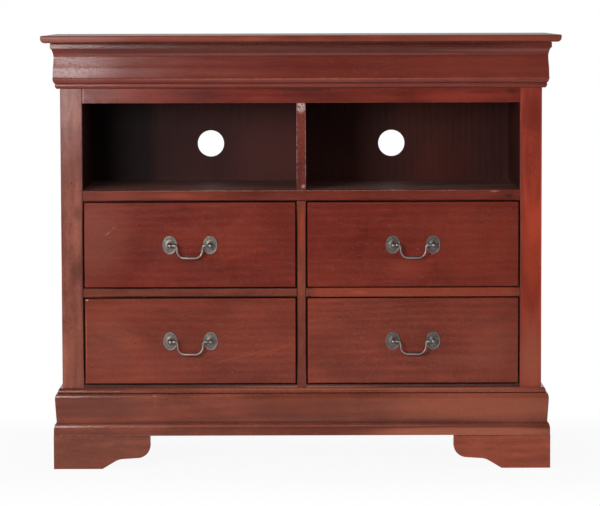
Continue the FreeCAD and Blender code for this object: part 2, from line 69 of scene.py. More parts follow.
def tint(red: int, green: int, blue: int) -> Colour:
    """Linear colour of a colour given as screen values from 0 to 255."""
    shares = (c / 255 for c in (red, green, blue))
    return tuple(c / 12.92 if c <= 0.04045 else ((c + 0.055) / 1.055) ** 2.4 for c in shares)


# Node writing: a socket that takes arithmetic, and a writer for each kind of tree.


class Value:
    """A number socket of a node tree that takes part in arithmetic."""

    def __init__(self, tree: NodeWriter, socket: bpy.types.NodeSocket) -> None:
        """Keeps the socket and the tree that it belongs to."""
        self.tree = tree
        self.socket = socket

    def _math(self, operation: str, *terms: Number) -> Value:
        """Result of one Math node."""
        node = self.tree.node("ShaderNodeMath", {"operation": operation}, dict(enumerate(terms)))
        return Value(self.tree, node.outputs[0])

    def __add__(self, other: Number) -> Value:
        """Sum."""
        return self._math("ADD", self, other)

    def __radd__(self, other: Number) -> Value:
        """Sum, with the number first."""
        return self._math("ADD", other, self)

    def __sub__(self, other: Number) -> Value:
        """Difference."""
        return self._math("SUBTRACT", self, other)

    def __rsub__(self, other: Number) -> Value:
        """Difference, with the number first."""
        return self._math("SUBTRACT", other, self)

    def __mul__(self, other: Number) -> Value:
        """Product."""
        return self._math("MULTIPLY", self, other)

    def __rmul__(self, other: Number) -> Value:
        """Product, with the number first."""
        return self._math("MULTIPLY", other, self)

    def __truediv__(self, other: Number) -> Value:
        """Quotient."""
        return self._math("DIVIDE", self, other)

    def __rtruediv__(self, other: Number) -> Value:
        """Quotient, with the number first."""
        return self._math("DIVIDE", other, self)

    def __pow__(self, other: Number) -> Value:
        """Power."""
        return self._math("POWER", self, other)

    def __rpow__(self, other: Number) -> Value:
        """Power, with the number first."""
        return self._math("POWER", other, self)

    def __abs__(self) -> Value:
        """Size without its sign."""
        return self._math("ABSOLUTE", self)

    def above(self, limit: Number) -> Value:
        """One where the value is over the limit, and otherwise nought."""
        return self._math("GREATER_THAN", self, limit)

    def most(self, other: Number) -> Value:
        """The larger of the two."""
        return self._math("MAXIMUM", self, other)

    def sine(self) -> Value:
        """Sine of the value in radians."""
        return self._math("SINE", self)

    def root(self) -> Value:
        """Square root."""
        return self._math("SQRT", self)

    def swing(self, amount: float) -> Value:
        """How far a noise is off its mean, times an amount."""
        return (self - HALF) * amount

    def ease(self, low: float, high: float) -> Value:
        """Smooth step from nought at low to one at high.

        Args:
            low: value at which the result is nought.
            high: value at which the result is one; it may be under low.

        Returns:
            The eased value, held between nought and one.
        """
        node = self.tree.node(
            "ShaderNodeMapRange",
            {"interpolation_type": "SMOOTHSTEP"},
            {"Value": self, "From Min": low, "From Max": high},
        )
        return Value(self.tree, node.outputs["Result"])


Number = Union[Value, float]


class NodeWriter:
    """Writes nodes into one tree."""

    def __init__(self, tree: bpy.types.NodeTree) -> None:
        """Keeps the tree and empties it."""
        self.tree = tree
        tree.nodes.clear()

    def node(
        self,
        kind: str,
        settings: dict[str, Any] | None = None,
        inputs: dict[str | int, Any] | None = None,
    ) -> bpy.types.Node:
        """Adds one node.

        Args:
            kind: type name of the node.
            settings: properties of the node, set first; "stops" holds a ramp's places and colours.
            inputs: values or links of its sockets, by name or number.

        Returns:
            The node.
        """
        node = self.tree.nodes.new(kind)
        for name, value in (settings or {}).items():
            if name == "stops":
                self._set_stops(node.color_ramp, value)
            else:
                setattr(node, name, value)
        for key, value in (inputs or {}).items():
            socket = node.inputs[key]
            if isinstance(value, Value):
                self.tree.links.new(value.socket, socket)
            elif isinstance(value, bpy.types.NodeSocket):
                self.tree.links.new(value, socket)
            elif isinstance(value, tuple) and socket.type == "RGBA":
                socket.default_value = (*value, 1.0)
            else:
                socket.default_value = value
        return node

    @staticmethod
    def _set_stops(ramp: bpy.types.ColorRamp, stops: Sequence[tuple[float, Colour]]) -> None:
        """Gives a ramp its places and colours."""
        while len(ramp.elements) < len(stops):
            ramp.elements.new(HALF)
        for element, (place, colour) in zip(ramp.elements, stops):
            element.position = place
            element.color = (*colour, 1.0)

    def value(self, socket: bpy.types.NodeSocket) -> Value:
        """The socket as a value that takes arithmetic."""
        return Value(self, socket)

    def vector(self, operation: str, first: Any, second: Any) -> bpy.types.NodeSocket:
        """Vector result of one Vector Math node."""
        node = self.node("ShaderNodeVectorMath", {"operation": operation}, {0: first, 1: second})
        return node.outputs["Vector"]

    def dot(self, first: Any, second: Any) -> Value:
        """Dot product of two vectors."""
        node = self.node("ShaderNodeVectorMath", {"operation": "DOT_PRODUCT"}, {0: first, 1: second})
        return self.value(node.outputs["Value"])

    def split(self, point: bpy.types.NodeSocket) -> tuple[Value, Value, Value]:
        """The three parts of a vector."""
        node = self.node("ShaderNodeSeparateXYZ", inputs={0: point})
        return tuple(self.value(node.outputs[k]) for k in range(3))

    def join(self, x: Number, y: Number, z: Number) -> bpy.types.NodeSocket:
        """A vector from three parts."""
        return self.node("ShaderNodeCombineXYZ", inputs={0: x, 1: y, 2: z}).outputs[0]


class Shader(NodeWriter):
    """Node tree of one material."""

    def __init__(self, name: str) -> None:
        """Makes an empty material of that name."""
        self.material = bpy.data.materials.new(name)
        self.material.use_nodes = True
        super().__init__(self.material.node_tree)

    def point(self) -> bpy.types.NodeSocket:
        """Object coordinates, which are the chest's own metres."""
        return self.node("ShaderNodeTexCoord").outputs["Object"]

    def noise(self, point: Any, scale: float, detail: float = 2.0, roughness: float = 0.5) -> Value:
        """Noise around a half.

        Args:
            point: place at which the noise is read.
            scale: waves to the metre.
            detail: number of finer layers.
            roughness: share of the finer layers.

        Returns:
            The noise value.
        """
        node = self.node(
            "ShaderNodeTexNoise",
            inputs={"Vector": point, "Scale": scale, "Detail": detail, "Roughness": roughness},
        )
        return self.value(node.outputs["Fac"])

    def mix(self, share: Number, first: Any, second: Any) -> bpy.types.NodeSocket:
        """Mixes two colours.

        Args:
            share: share of the second colour.
            first: colour at nought.
            second: colour at one.

        Returns:
            The mixed colour.
        """
        settings = {"data_type": "RGBA", "blend_type": "MIX", "clamp_factor": True}
        return self.node("ShaderNodeMix", settings, {0: share, 6: first, 7: second}).outputs[2]

    def ramp(self, value: Value, stops: Sequence[tuple[float, Colour]]) -> bpy.types.NodeSocket:
        """Colour of a value on a ramp."""
        return self.node("ShaderNodeValToRGB", {"stops": stops}, {0: value}).outputs["Color"]

    def rounded_normal(self, radius: float) -> bpy.types.NodeSocket:
        """Normal that turns smoothly over the arrises within a radius."""
        return self.node("ShaderNodeBevel", {"samples": BEVEL_SAMPLES}, {"Radius": radius}).outputs["Normal"]

    def attribute(self, name: str) -> Value:
        """A number that the mesh carries from point to point."""
        return self.value(self.node("ShaderNodeAttribute", {"attribute_name": name}).outputs["Fac"])

    def bump(
        self, height: Value, strength: float, distance: float, normal: Any = None
    ) -> bpy.types.NodeSocket:
        """Normal of a relief.

        Args:
            height: relief from nought to one.
            strength: share of the effect.
            distance: depth in metres of one unit of height.
            normal: normal that the relief stands on.

        Returns:
            The bumped normal.
        """
        inputs = {"Strength": strength, "Distance": distance, "Height": height}
        if normal is not None:
            inputs["Normal"] = normal
        return self.node("ShaderNodeBump", inputs=inputs).outputs["Normal"]

    def surface(self, **sockets: Any) -> bpy.types.Material:
        """Ends the tree in a Principled surface.

        Args:
            **sockets: values or links by socket name, with _ for a space.

        Returns:
            The finished material.
        """
        named = {name.replace("_", " "): value for name, value in sockets.items()}
        shader = self.node("ShaderNodeBsdfPrincipled", inputs=named)
        self.node("ShaderNodeOutputMaterial", inputs={"Surface": shader.outputs[0]})
        return self.material


class GeometryTree(NodeWriter):
    """A Geometry Nodes tree with named inputs that turns one mesh into another."""

    def __init__(self, name: str, sizes: Sequence[str], vectors: Sequence[str] = ()) -> None:
        """Makes the tree.

        Args:
            name: name of the tree.
            sizes: names of its number inputs.
            vectors: names of its vector inputs.
        """
        group = bpy.data.node_groups.new(name, "GeometryNodeTree")
        super().__init__(group)
        self.keys: dict[str, str] = {}
        kinds = {"Geometry": "NodeSocketGeometry", "Material": "NodeSocketMaterial"}
        kinds |= {title: "NodeSocketFloat" for title in sizes}
        kinds |= {title: "NodeSocketVector" for title in vectors}
        for title, kind in kinds.items():
            item = group.interface.new_socket(name=title, in_out="INPUT", socket_type=kind)
            self.keys[title] = item.identifier
        group.interface.new_socket(name="Geometry", in_out="OUTPUT", socket_type="NodeSocketGeometry")
        self.source = self.node("NodeGroupInput")

    def size(self, name: str) -> Value:
        """A number input of the tree."""
        return self.value(self.source.outputs[name])

    def end(self, geometry: bpy.types.NodeSocket) -> None:
        """Ends the tree in Realize Instances and Set Material."""
        real = self.node("GeometryNodeRealizeInstances", inputs={"Geometry": geometry})
        dressed = self.node(
            "GeometryNodeSetMaterial",
            inputs={"Geometry": real.outputs[0], "Material": self.source.outputs["Material"]},
        )
        self.node("NodeGroupOutput", inputs={0: dressed.outputs[0]})

    def run(
        self, name: str, base: bpy.types.Mesh, material: bpy.types.Material, **sizes: Any
    ) -> bpy.types.Mesh:
        """Runs the tree on a mesh.

        Args:
            name: name of the new mesh.
            base: mesh that the tree starts from.
            material: material of the result.
            **sizes: values of the tree's own inputs.

        Returns:
            The plain mesh that the tree gives.
        """
        carrier = bpy.data.objects.new(name, base)
        bpy.context.scene.collection.objects.link(carrier)
        modifier = carrier.modifiers.new(name, "NODES")
        modifier.node_group = self.tree
        modifier[self.keys["Material"]] = material
        for title, value in sizes.items():
            modifier[self.keys[title.replace("_", " ")]] = value
        graph = bpy.context.evaluated_depsgraph_get()
        mesh = bpy.data.meshes.new_from_object(carrier.evaluated_get(graph))
        carrier.modifiers.remove(modifier)
        bpy.data.objects.remove(carrier)
        mesh.name = name
        return mesh


# Finishes: wood, pewter and steel.


class Grain(Enum):
    """Way in which the grain of a board runs: its axis, then the two across it."""

    ALONG_X = (0, 1, 2)
    ALONG_Y = (1, 0, 2)
    ALONG_Z = (2, 0, 1)


class Outline(Enum):
    """Outline of a local mark."""

    ROUND = "round"
    STRIP = "strip"


@dataclass(frozen=True)
class Mark:
    """A local change of colour on the face: a stain, a scuff, a glaze line or a knot, and also painted
    shade, shadow, highlight or sheen.
    """

    x: float
    z: float
    width: float
    height: float
    colour: Colour
    strength: float
    outline: Outline = Outline.ROUND
    turn: float = 0.0
    softness: float = 0.8
    ragged: float = 0.12

    FRAY: ClassVar[float] = 1.4
    THIN: ClassVar[Point2] = (0.36, 0.64)

    def mask(self, x: Value, z: Value, noise: Value) -> Value:
        """Strength of the mark over the face.

        Args:
            x: place across the chest.
            z: height.
            noise: noise that frays the mark.

        Returns:
            Mask from nought to the mark's strength.
        """
        dx, dz = x - self.x, z - self.z
        if self.turn:
            cosine, sine = math.cos(math.radians(self.turn)), math.sin(math.radians(self.turn))
            dx, dz = dx * cosine + dz * sine, dz * cosine - dx * sine
        u, v = dx / (self.width / 2), dz / (self.height / 2)
        reach = abs(u).most(abs(v)) if self.outline is Outline.STRIP else (u * u + v * v).root()
        solid = (reach + noise.swing(self.FRAY * self.ragged)).ease(1.0, 1.0 - self.softness)
        return solid * self.strength * (1.0 - self.ragged + noise.ease(*self.THIN) * 2 * self.ragged)


@dataclass(frozen=True)
class Layer:
    """One layer of a board's figure: waves to the metre along and across the grain, and its finer waves."""

    along: float
    across: float
    detail: float = 3.0
    roughness: float = 0.5


class Grained:
    """What the finishes of wood share: noise that is stretched along the grain of the board."""

    grain: Grain
    seed: float

    SEED_STEPS: ClassVar[Point3] = (3.7, 5.1, 7.3)

    def layer(self, shader: Shader, point: Any, layer: Layer, turn: float = 0.0) -> Value:
        """Noise of one layer of the figure, moved by the board's seed.

        Args:
            shader: tree of the material.
            point: object coordinates.
            layer: the layer's waves.
            turn: degrees by which the figure leans out of the grain on the face.

        Returns:
            The noise value.
        """
        if turn:
            inputs = {"Vector": point, "Angle": math.radians(turn)}
            point = shader.node("ShaderNodeVectorRotate", {"rotation_type": "Y_AXIS"}, inputs).outputs[0]
        scale = [layer.across] * 3
        scale[self.grain.value[0]] = layer.along
        scaled = shader.vector("MULTIPLY", point, tuple(scale))
        moved = shader.vector("ADD", scaled, tuple(self.seed * step for step in self.SEED_STEPS))
        return shader.noise(moved, 1.0, layer.detail, layer.roughness)


@dataclass(frozen=True)
class CherryFinish(Grained):
    """Stained and lacquered cherry, with the tone and the figure of one board."""

    name: str
    mid: Colour
    grain: Grain = Grain.ALONG_X
    seed: float = 0.0
    figure: float = 0.05
    # Of the rings: place across the board, depth behind the face, nearest place along it, and tilt
    heart: tuple[float, float, float, float] = (0.0, 0.03, 0.5, 0.05)
    ring: float = 0.016
    streaks: float = 0.26
    fibre: float = 0.45
    speckle: float = 0.22
    mottle: float = 0.28
    flame: float = 0.26
    flame_turn: float = 0.0
    warm: Colour = field(default_factory=lambda: tint(150, 66, 40))
    warmth: float = 0.25
    wear: float = 0.35
    worn: Colour = field(default_factory=lambda: tint(168, 108, 90))
    roughness: float = 0.21
    specular: float = 0.19
    coat: float = 0.05
    coat_roughness: float = 0.12
    profiled: bool = False
    glaze: Colour = field(default_factory=lambda: tint(34, 14, 13))
    marks: tuple[Mark, ...] = ()
    marked_around: bool = False

    SWAY: ClassVar[Layer] = Layer(1.3, 8.0)
    FLAME: ClassVar[Layer] = Layer(7.0, 20.0)
    STREAK: ClassVar[Layer] = Layer(14.0, 70.0, roughness=0.6)
    FIBRE: ClassVar[Layer] = Layer(22.0, 700.0, roughness=0.7)
    BLOTCH: ClassVar[Layer] = Layer(9.0, 13.0, detail=5.0, roughness=0.6)
    HEAT: ClassVar[Layer] = Layer(3.0, 9.0, detail=2.0)
    PORES: ClassVar[Layer] = Layer(90.0, 1900.0, detail=1.0)
    FRAY_SCALE: ClassVar[float] = 160.0
    RIPPLE_SCALE: ClassVar[float] = 190.0
    SWAY_REACH: ClassVar[float] = 0.05
    # Places on the ramp, and how light the board is there against its own tone
    SHADES: ClassVar[tuple[Point2, ...]] = ((0.0, 0.30), (0.35, 0.74), (0.6, 1.16), (1.0, 1.95))
    # Green and blue fall off a little faster than red in the depth of the stain
    DEPTH: ClassVar[Point3] = (1.0, 1.12, 1.15)
    PORE_SHADE: ClassVar[float] = 0.3
    PORE_STRENGTH: ClassVar[float] = 0.35
    ARRIS_ROUND: ClassVar[float] = 2.0 * MM
    EASED_ROUND: ClassVar[float] = 0.7 * MM
    RIPPLE_DEPTH: ClassVar[float] = 0.26 * MM
    RIPPLE_STRENGTH: ClassVar[float] = 0.7

    def shade(self, factor: float) -> Colour:
        """The board's tone made darker or lighter, a little redder in its depth."""
        return tuple(part * factor ** power for part, power in zip(self.mid, self.DEPTH))

    def rings(self, parts: Sequence[Value], sway: Value) -> Value:
        """Growth rings cut by the face.

        Args:
            parts: object coordinates.
            sway: slow noise that bends the rings.

        Returns:
            Ring value around nought.
        """
        along, first, second = (parts[k] for k in self.grain.value)
        centre, depth, middle, tilt = self.heart
        if self.grain is Grain.ALONG_X:
            first, second = second, first
        lean = abs(along - middle) * tilt + depth
        radius = ((first - centre) ** 2 + lean * lean).root() + sway.swing(self.SWAY_REACH)
        return (radius * (2 * math.pi / self.ring)).sine()

    def figured(
        self, shader: Shader, point: Any, parts: Sequence[Value], fray: Value, blotch: Value
    ) -> tuple[bpy.types.NodeSocket, Value, Value]:
        """Colour of the bare figure.

        Args:
            shader: tree of the material.
            point: object coordinates.
            parts: the same as three values.
            fray: fine even noise.
            blotch: cloudy noise.

        Returns:
            The colour, the fibres and the pores.
        """
        sway = self.layer(shader, point, self.SWAY)
        flame = self.layer(shader, point, self.FLAME, self.flame_turn)
        streak = self.layer(shader, point, self.STREAK)
        fibre = self.layer(shader, point, self.FIBRE)
        tone = (
            HALF
            + flame.swing(1.6 * self.flame)
            + streak.swing(1.4 * self.streaks)
            + fibre.swing(0.9 * self.fibre)
            + blotch.swing(1.8 * self.mottle)
            + fray.swing(1.1 * self.speckle)
            + self.rings(parts, sway) * blotch * (self.figure * 2)
        )
        colour = shader.ramp(tone, [(place, self.shade(light)) for place, light in self.SHADES])
        heat = self.layer(shader, point, self.HEAT).ease(0.45, 0.75)
        colour = shader.mix(heat * self.warmth, colour, self.warm)
        pores = self.layer(shader, point, self.PORES).ease(0.60, 0.70)
        colour = shader.mix(pores * self.PORE_STRENGTH, colour, self.shade(self.PORE_SHADE))
        return colour, fibre, pores

    def marked(
        self, shader: Shader, colour: bpy.types.NodeSocket, parts: Sequence[Value], normal: Any, fray: Value
    ) -> bpy.types.NodeSocket:
        """The colour with the board's own marks, which lie on its front unless it is marked around.

        Args:
            shader: tree of the material.
            colour: colour under the marks.
            parts: object coordinates.
            normal: the surface's own normal.
            fray: noise that frays the marks.

        Returns:
            The marked colour.
        """
        front = (0.0 - shader.split(normal)[1]).ease(0.3, 0.7)
        around = self.profiled or self.marked_around
        for mark in self.marks:
            mask = mark.mask(parts[0], parts[2], fray)
            colour = shader.mix(mask if around else mask * front, colour, mark.colour)
        return colour

    def build(self) -> bpy.types.Material:
        """Builds the material.

        Returns:
            The finished material.
        """
        shader = Shader(self.name)
        point = shader.point()
        parts = shader.split(point)
        blotch = self.layer(shader, point, self.BLOTCH)
        fray = shader.noise(point, self.FRAY_SCALE, 3.0, 0.7)
        colour, fibre, pores = self.figured(shader, point, parts, fray, blotch)
        true_normal = shader.node("ShaderNodeNewGeometry").outputs["Normal"]
        colour = self.marked(shader, colour, parts, true_normal, fray)
        if self.profiled:
            relief = shader.attribute(RELIEF)
            rubbed = fray.ease(0.30, 0.62) * relief.ease(0.05, 0.9)
            colour = shader.mix(relief.ease(-0.05, -0.9) * (0.55 + fray * 0.6), colour, self.glaze)
        else:
            edge = 1.0 - shader.dot(shader.rounded_normal(self.ARRIS_ROUND), true_normal)
            rubbed = edge.ease(0.02, 0.2) * fray.ease(0.36, 0.62)
        worn = rubbed * self.wear
        ripple = shader.noise(point, self.RIPPLE_SCALE, 3.0, 0.6)
        height = ripple + fibre * 0.25 - pores * 0.4
        eased = shader.rounded_normal(self.EASED_ROUND)
        return shader.surface(
            Base_Color=shader.mix(worn, colour, self.worn),
            Roughness=self.roughness + blotch.swing(0.12) + worn * 0.2 + ripple.swing(0.05),
            Specular_IOR_Level=self.specular,
            Coat_Weight=self.coat + blotch.swing(0.1) - worn * 0.05,
            Coat_Roughness=self.coat_roughness,
            Normal=shader.bump(height, self.RIPPLE_STRENGTH, self.RIPPLE_DEPTH, eased),
        )


@dataclass(frozen=True)
class BareWoodFinish(Grained):
    """Clear-sealed or bare light hardwood and ply, for the insides of the drawers."""

    name: str
    dark: Colour
    light: Colour
    grain: Grain = Grain.ALONG_Y
    seed: float = 0.0
    roughness: float = 0.55
    specular: float = 0.3
    soil: Colour = field(default_factory=lambda: tint(96, 70, 52))

    STREAK: ClassVar[Layer] = Layer(5.0, 120.0, detail=4.0, roughness=0.6)
    BROAD: ClassVar[Layer] = Layer(2.0, 14.0, detail=2.0)
    PORES: ClassVar[Layer] = Layer(90.0, 2200.0, detail=1.0)
    SOIL_SCALE: ClassVar[float] = 9.0
    EASED_ROUND: ClassVar[float] = 0.5 * MM
    PORE_DEPTH: ClassVar[float] = 0.15 * MM

    def build(self) -> bpy.types.Material:
        """Builds the material.

        Returns:
            The finished material.
        """
        shader = Shader(self.name)
        point = shader.point()
        streak = self.layer(shader, point, self.STREAK)
        broad = self.layer(shader, point, self.BROAD)
        pores = self.layer(shader, point, self.PORES).ease(0.58, 0.7)
        tone = HALF + streak.swing(1.5) + broad.swing(1.2)
        colour = shader.ramp(tone, [(0.1, self.dark), (0.9, self.light)])
        colour = shader.mix(pores * 0.5, colour, self.dark)
        soiled = shader.noise(point, self.SOIL_SCALE, 4.0, 0.6).ease(0.52, 0.8)
        eased = shader.rounded_normal(self.EASED_ROUND)
        return shader.surface(
            Base_Color=shader.mix(soiled * 0.25, colour, self.soil),
            Roughness=self.roughness + streak.swing(0.2) + pores * 0.1,
            Specular_IOR_Level=self.specular,
            Normal=shader.bump(streak * 0.4 - pores, 0.5, self.PORE_DEPTH, eased),
        )


@dataclass(frozen=True)
class PewterFinish:
    """Aged pewter: dark in its hollows and rubbed bright on its high places."""

    name: str
    dark: Colour
    rubbed: Colour
    roughness: float = 0.45

    CLOUD_SCALE: ClassVar[float] = 260.0
    GRIT_SCALE: ClassVar[float] = 1500.0
    GRIT_DEPTH: ClassVar[float] = 0.1 * MM

    def build(self) -> bpy.types.Material:
        """Builds the material, which reads the mesh's own relief attribute.

        Returns:
            The finished material.
        """
        shader = Shader(self.name)
        point = shader.point()
        cloud = shader.noise(point, self.CLOUD_SCALE, 4.0, 0.65)
        grit = shader.noise(point, self.GRIT_SCALE, 2.0, 0.6)
        bright = (shader.attribute(RELIEF) + cloud.swing(0.9)).ease(0.15, 1.0)
        colour = shader.mix(bright, self.dark, self.rubbed)
        return shader.surface(
            Base_Color=shader.mix(grit.ease(0.58, 0.72) * 0.4, colour, self.dark),
            Metallic=0.86 + bright * 0.14,
            Roughness=self.roughness + cloud.swing(0.25) - bright * 0.12,
            Normal=shader.bump(grit * 0.6 + cloud * 0.4, 0.45, self.GRIT_DEPTH),
        )


@dataclass(frozen=True)
class SteelFinish:
    """Plain steel of brads, screws and nuts."""

    name: str
    colour: Colour
    roughness: float = 0.4
    rust: Colour = field(default_factory=lambda: tint(112, 66, 40))

    CLOUD_SCALE: ClassVar[float] = 700.0
    RUST_SCALE: ClassVar[float] = 90.0
    DULL_SHARE: ClassVar[float] = 0.55
    CLOUD_DEPTH: ClassVar[float] = 0.05 * MM

    def build(self) -> bpy.types.Material:
        """Builds the material.

        Returns:
            The finished material.
        """
        shader = Shader(self.name)
        point = shader.point()
        cloud = shader.noise(point, self.CLOUD_SCALE, 3.0, 0.6)
        rusty = shader.noise(point, self.RUST_SCALE, 3.0, 0.6).ease(0.55, 0.75)
        dull = tuple(part * self.DULL_SHARE for part in self.colour)
        colour = shader.mix(cloud.ease(0.3, 0.7), self.colour, dull)
        return shader.surface(
            Base_Color=shader.mix(rusty * 0.35, colour, self.rust),
            Metallic=0.95 - rusty * 0.4,
            Roughness=self.roughness + cloud.swing(0.3) + rusty * 0.2,
            Normal=shader.bump(cloud, 0.4, self.CLOUD_DEPTH),
        )


# Mesh helpers.


MERGE_DISTANCE = 1e-6
TURNED_CREASE = 30.0  # degrees over which an edge of a turned or flat piece stays sharp
LATHE_CREASE = 32.0
HEAD_CREASE = 40.0
MOULDING_CREASE = 28.0


def finished(mesh: bpy.types.Mesh, crease: float = TURNED_CREASE) -> bpy.types.Mesh:
    """Merges doubles, turns the faces outwards and shades them smooth up to an angle.

    Args:
        mesh: the mesh to finish.
        crease: angle in degrees over which an edge stays sharp.

    Returns:
        The same mesh.
    """
    work = bmesh.new()
    work.from_mesh(mesh)
    bmesh.ops.remove_doubles(work, verts=work.verts, dist=MERGE_DISTANCE)
    bmesh.ops.recalc_face_normals(work, faces=work.faces)
    work.to_mesh(mesh)
    work.free()
    mesh.polygons.foreach_set("use_smooth", [True] * len(mesh.polygons))
    mesh.set_sharp_from_angle(angle=math.radians(crease))
    return mesh


def mesh_of(
    name: str,
    points: Sequence[Sequence[float]],
    faces: Sequence[Sequence[int]],
    edges: Sequence[tuple[int, int]] = (),
) -> bpy.types.Mesh:
    """A mesh from points in metres, faces and loose edges."""
    mesh = bpy.data.meshes.new(name)
    mesh.from_pydata([tuple(p) for p in points], edges, [tuple(f) for f in faces])
    return mesh


def path_of(name: str, points: Sequence[Sequence[float]], closed: bool = False) -> bpy.types.Mesh:
    """A path of points and edges, from the last back to the first where it is closed."""
    count = len(points)
    edges = [(k, (k + 1) % count) for k in range(count if closed else count - 1)]
    return mesh_of(name, points, [], edges)


def give_attribute(mesh: bpy.types.Mesh, name: str, values: Sequence[float]) -> None:
    """Gives each point of a mesh a number."""
    mesh.attributes.new(name, "FLOAT", "POINT").data.foreach_set("value", values)


def piece(
    name: str,
    mesh: bpy.types.Mesh,
    material: bpy.types.Material,
    body: str,
    nodes: Sequence[str] = (),
) -> bpy.types.Object:
    """Puts a finished mesh into the scene.

    Args:
        name: name of the piece.
        mesh: its mesh, in the chest's own metres.
        material: its material.
        body: body that it rides on.
        nodes: nodes that it stands for.

    Returns:
        The new object.
    """
    mesh.materials.clear()
    mesh.materials.append(material)
    thing = bpy.data.objects.new(name, mesh)
    bpy.context.scene.collection.objects.link(thing)
    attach(thing, body)
    if nodes:
        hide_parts(*nodes)
    log.info("%s: %d faces on %s", name, len(mesh.polygons), body)
    return thing


def arc_points(start: Point2, through: Point2, end: Point2, steps: int) -> list[Point2]:
    """Points of the arc through three points, without the first.

    Args:
        start: where the arc starts.
        through: a point that it passes.
        end: where it ends.
        steps: number of points.

    Returns:
        The points after the start.
    """
    (ax, ay), (bx, by), (cx, cy) = start, through, end
    d = 2 * (ax * (by - cy) + bx * (cy - ay) + cx * (ay - by))
    a2, b2, c2 = ax * ax + ay * ay, bx * bx + by * by, cx * cx + cy * cy
    ux = (a2 * (by - cy) + b2 * (cy - ay) + c2 * (ay - by)) / d
    uy = (a2 * (cx - bx) + b2 * (ax - cx) + c2 * (bx - ax)) / d
    radius = math.hypot(ax - ux, ay - uy)
    first, middle, last = (math.atan2(y - uy, x - ux) for x, y in (start, through, end))
    span = (last - first) % (2 * math.pi)
    if (middle - first) % (2 * math.pi) > span:
        span -= 2 * math.pi
    angles = (first + span * k / steps for k in range(1, steps + 1))
    return [(ux + radius * math.cos(a), uy + radius * math.sin(a)) for a in angles]


ARRIS_MARGIN = 1.3 * MM  # distance of the points that are added beside a corner
LEAST_SIDE = 2.6 * ARRIS_MARGIN  # shorter sides get no points
LEAST_TURN = 14.0  # degrees under which a point is no corner
FULL_TURN = 60.0  # degrees at which a corner has its full relief


def with_arrises(outline: Sequence[Point2]) -> tuple[list[Point2], list[float]]:
    """Marks the arrises and the hollows of an outline, with a point close to each on its long sides.

    Args:
        outline: points of the closed outline, the last one joined to the first.

    Returns:
        The points, and for each how sharply it stands out (up to 1) or lies in a hollow (down to -1).
    """
    area = sum(a[0] * b[1] - b[0] * a[1] for a, b in zip(outline, [*outline[1:], outline[0]]))
    points, reliefs, count = [], [], len(outline)
    for k, here in enumerate(outline):
        before, after = outline[k - 1], outline[(k + 1) % count]
        entry = math.atan2(here[1] - before[1], here[0] - before[0])
        leave = math.atan2(after[1] - here[1], after[0] - here[0])
        turn = (leave - entry + math.pi) % (2 * math.pi) - math.pi
        turn = math.degrees(turn) * math.copysign(1.0, area)
        points.append(here)
        reliefs.append(0.0 if abs(turn) < LEAST_TURN else max(-1.0, min(1.0, turn / FULL_TURN)))
        length = math.dist(here, after)
        if length > LEAST_SIDE:
            for share in (ARRIS_MARGIN / length, 1.0 - ARRIS_MARGIN / length):
                points.append(tuple(a + (b - a) * share for a, b in zip(here, after)))
                reliefs.append(0.0)
    return points, reliefs


def give_relief(
    mesh: bpy.types.Mesh,
    outline: Sequence[Point2],
    reliefs: Sequence[float],
    place: Callable[[Vector], Point2],
) -> None:
    """Writes the outline's relief on the mesh that was made from it.

    Args:
        mesh: the mesh.
        outline: points of the outline.
        reliefs: relief of each.
        place: gives the outline's coordinates of a vertex.
    """
    values = []
    for vertex in mesh.vertices:
        here = place(vertex.co)
        nearest = min(range(len(outline)), key=lambda k: math.dist(outline[k], here))
        values.append(reliefs[nearest])
    give_attribute(mesh, RELIEF, values)


def ring_points(centre: Vector, reach: float, radii: Sequence[float], squash: float = 1.0) -> list[Point3]:
    """Points round an axis that points out of the face.

    Args:
        centre: point of the axis on the face.
        reach: distance of the ring out from the face.
        radii: distance of each point from the axis.
        squash: share of the radius across the chest.

    Returns:
        The points.
    """
    points = []
    for k, radius in enumerate(radii):
        angle = 2 * math.pi * k / len(radii)
        x = centre.x + radius * squash * math.cos(angle)
        points.append((x, centre.y - reach, centre.z + radius * math.sin(angle)))
    return points


def ring_faces(rings: int, sides: int, closed: bool) -> list[tuple[int, ...]]:
    """Faces between rings of points.

    Args:
        rings: number of rings.
        sides: points in each.
        closed: whether the last ring joins the first; otherwise both ends are capped.

    Returns:
        The faces.
    """
    faces: list[tuple[int, ...]] = []
    for j in range(rings if closed else rings - 1):
        here, there = j * sides, (j + 1) % rings * sides
        for k in range(sides):
            after = (k + 1) % sides
            faces.append((here + k, here + after, there + after, there + k))
    if not closed:
        faces.append(tuple(range(sides)))
        faces.append(tuple((rings - 1) * sides + k for k in range(sides)))
    return faces


def lathe(
    name: str,
    stations: Sequence[Station],
    centre: Vector,
    sides: int,
    squash: float = 1.0,
    closed: bool = True,
) -> bpy.types.Mesh:
    """Turns a profile about an axis that points out of the face.

    Args:
        name: name of the mesh.
        stations: radius, distance out from the face and relief of each point of the profile.
        centre: point of the axis on the face.
        sides: number of flats round it.
        squash: share of the radius across the chest.
        closed: whether the last point joins the first, as in a bored piece.

    Returns:
        The finished mesh, with its relief attribute.
    """
    points, reliefs = [], []
    for radius, reach, relief in stations:
        points += ring_points(centre, reach, [radius] * sides, squash)
        reliefs += [relief] * sides
    mesh = mesh_of(name, points, ring_faces(len(stations), sides, closed))
    give_attribute(mesh, RELIEF, reliefs)
    return finished(mesh, LATHE_CREASE)


def joined(name: str, meshes: Sequence[bpy.types.Mesh]) -> bpy.types.Mesh:
    """One mesh that holds several, with their relief."""
    work = bmesh.new()
    for mesh in meshes:
        work.from_mesh(mesh)
    mesh = bpy.data.meshes.new(name)
    work.to_mesh(mesh)
    work.free()
    return mesh


# Geometry Nodes trees: the mouldings, the bails and the rows of fastenings.


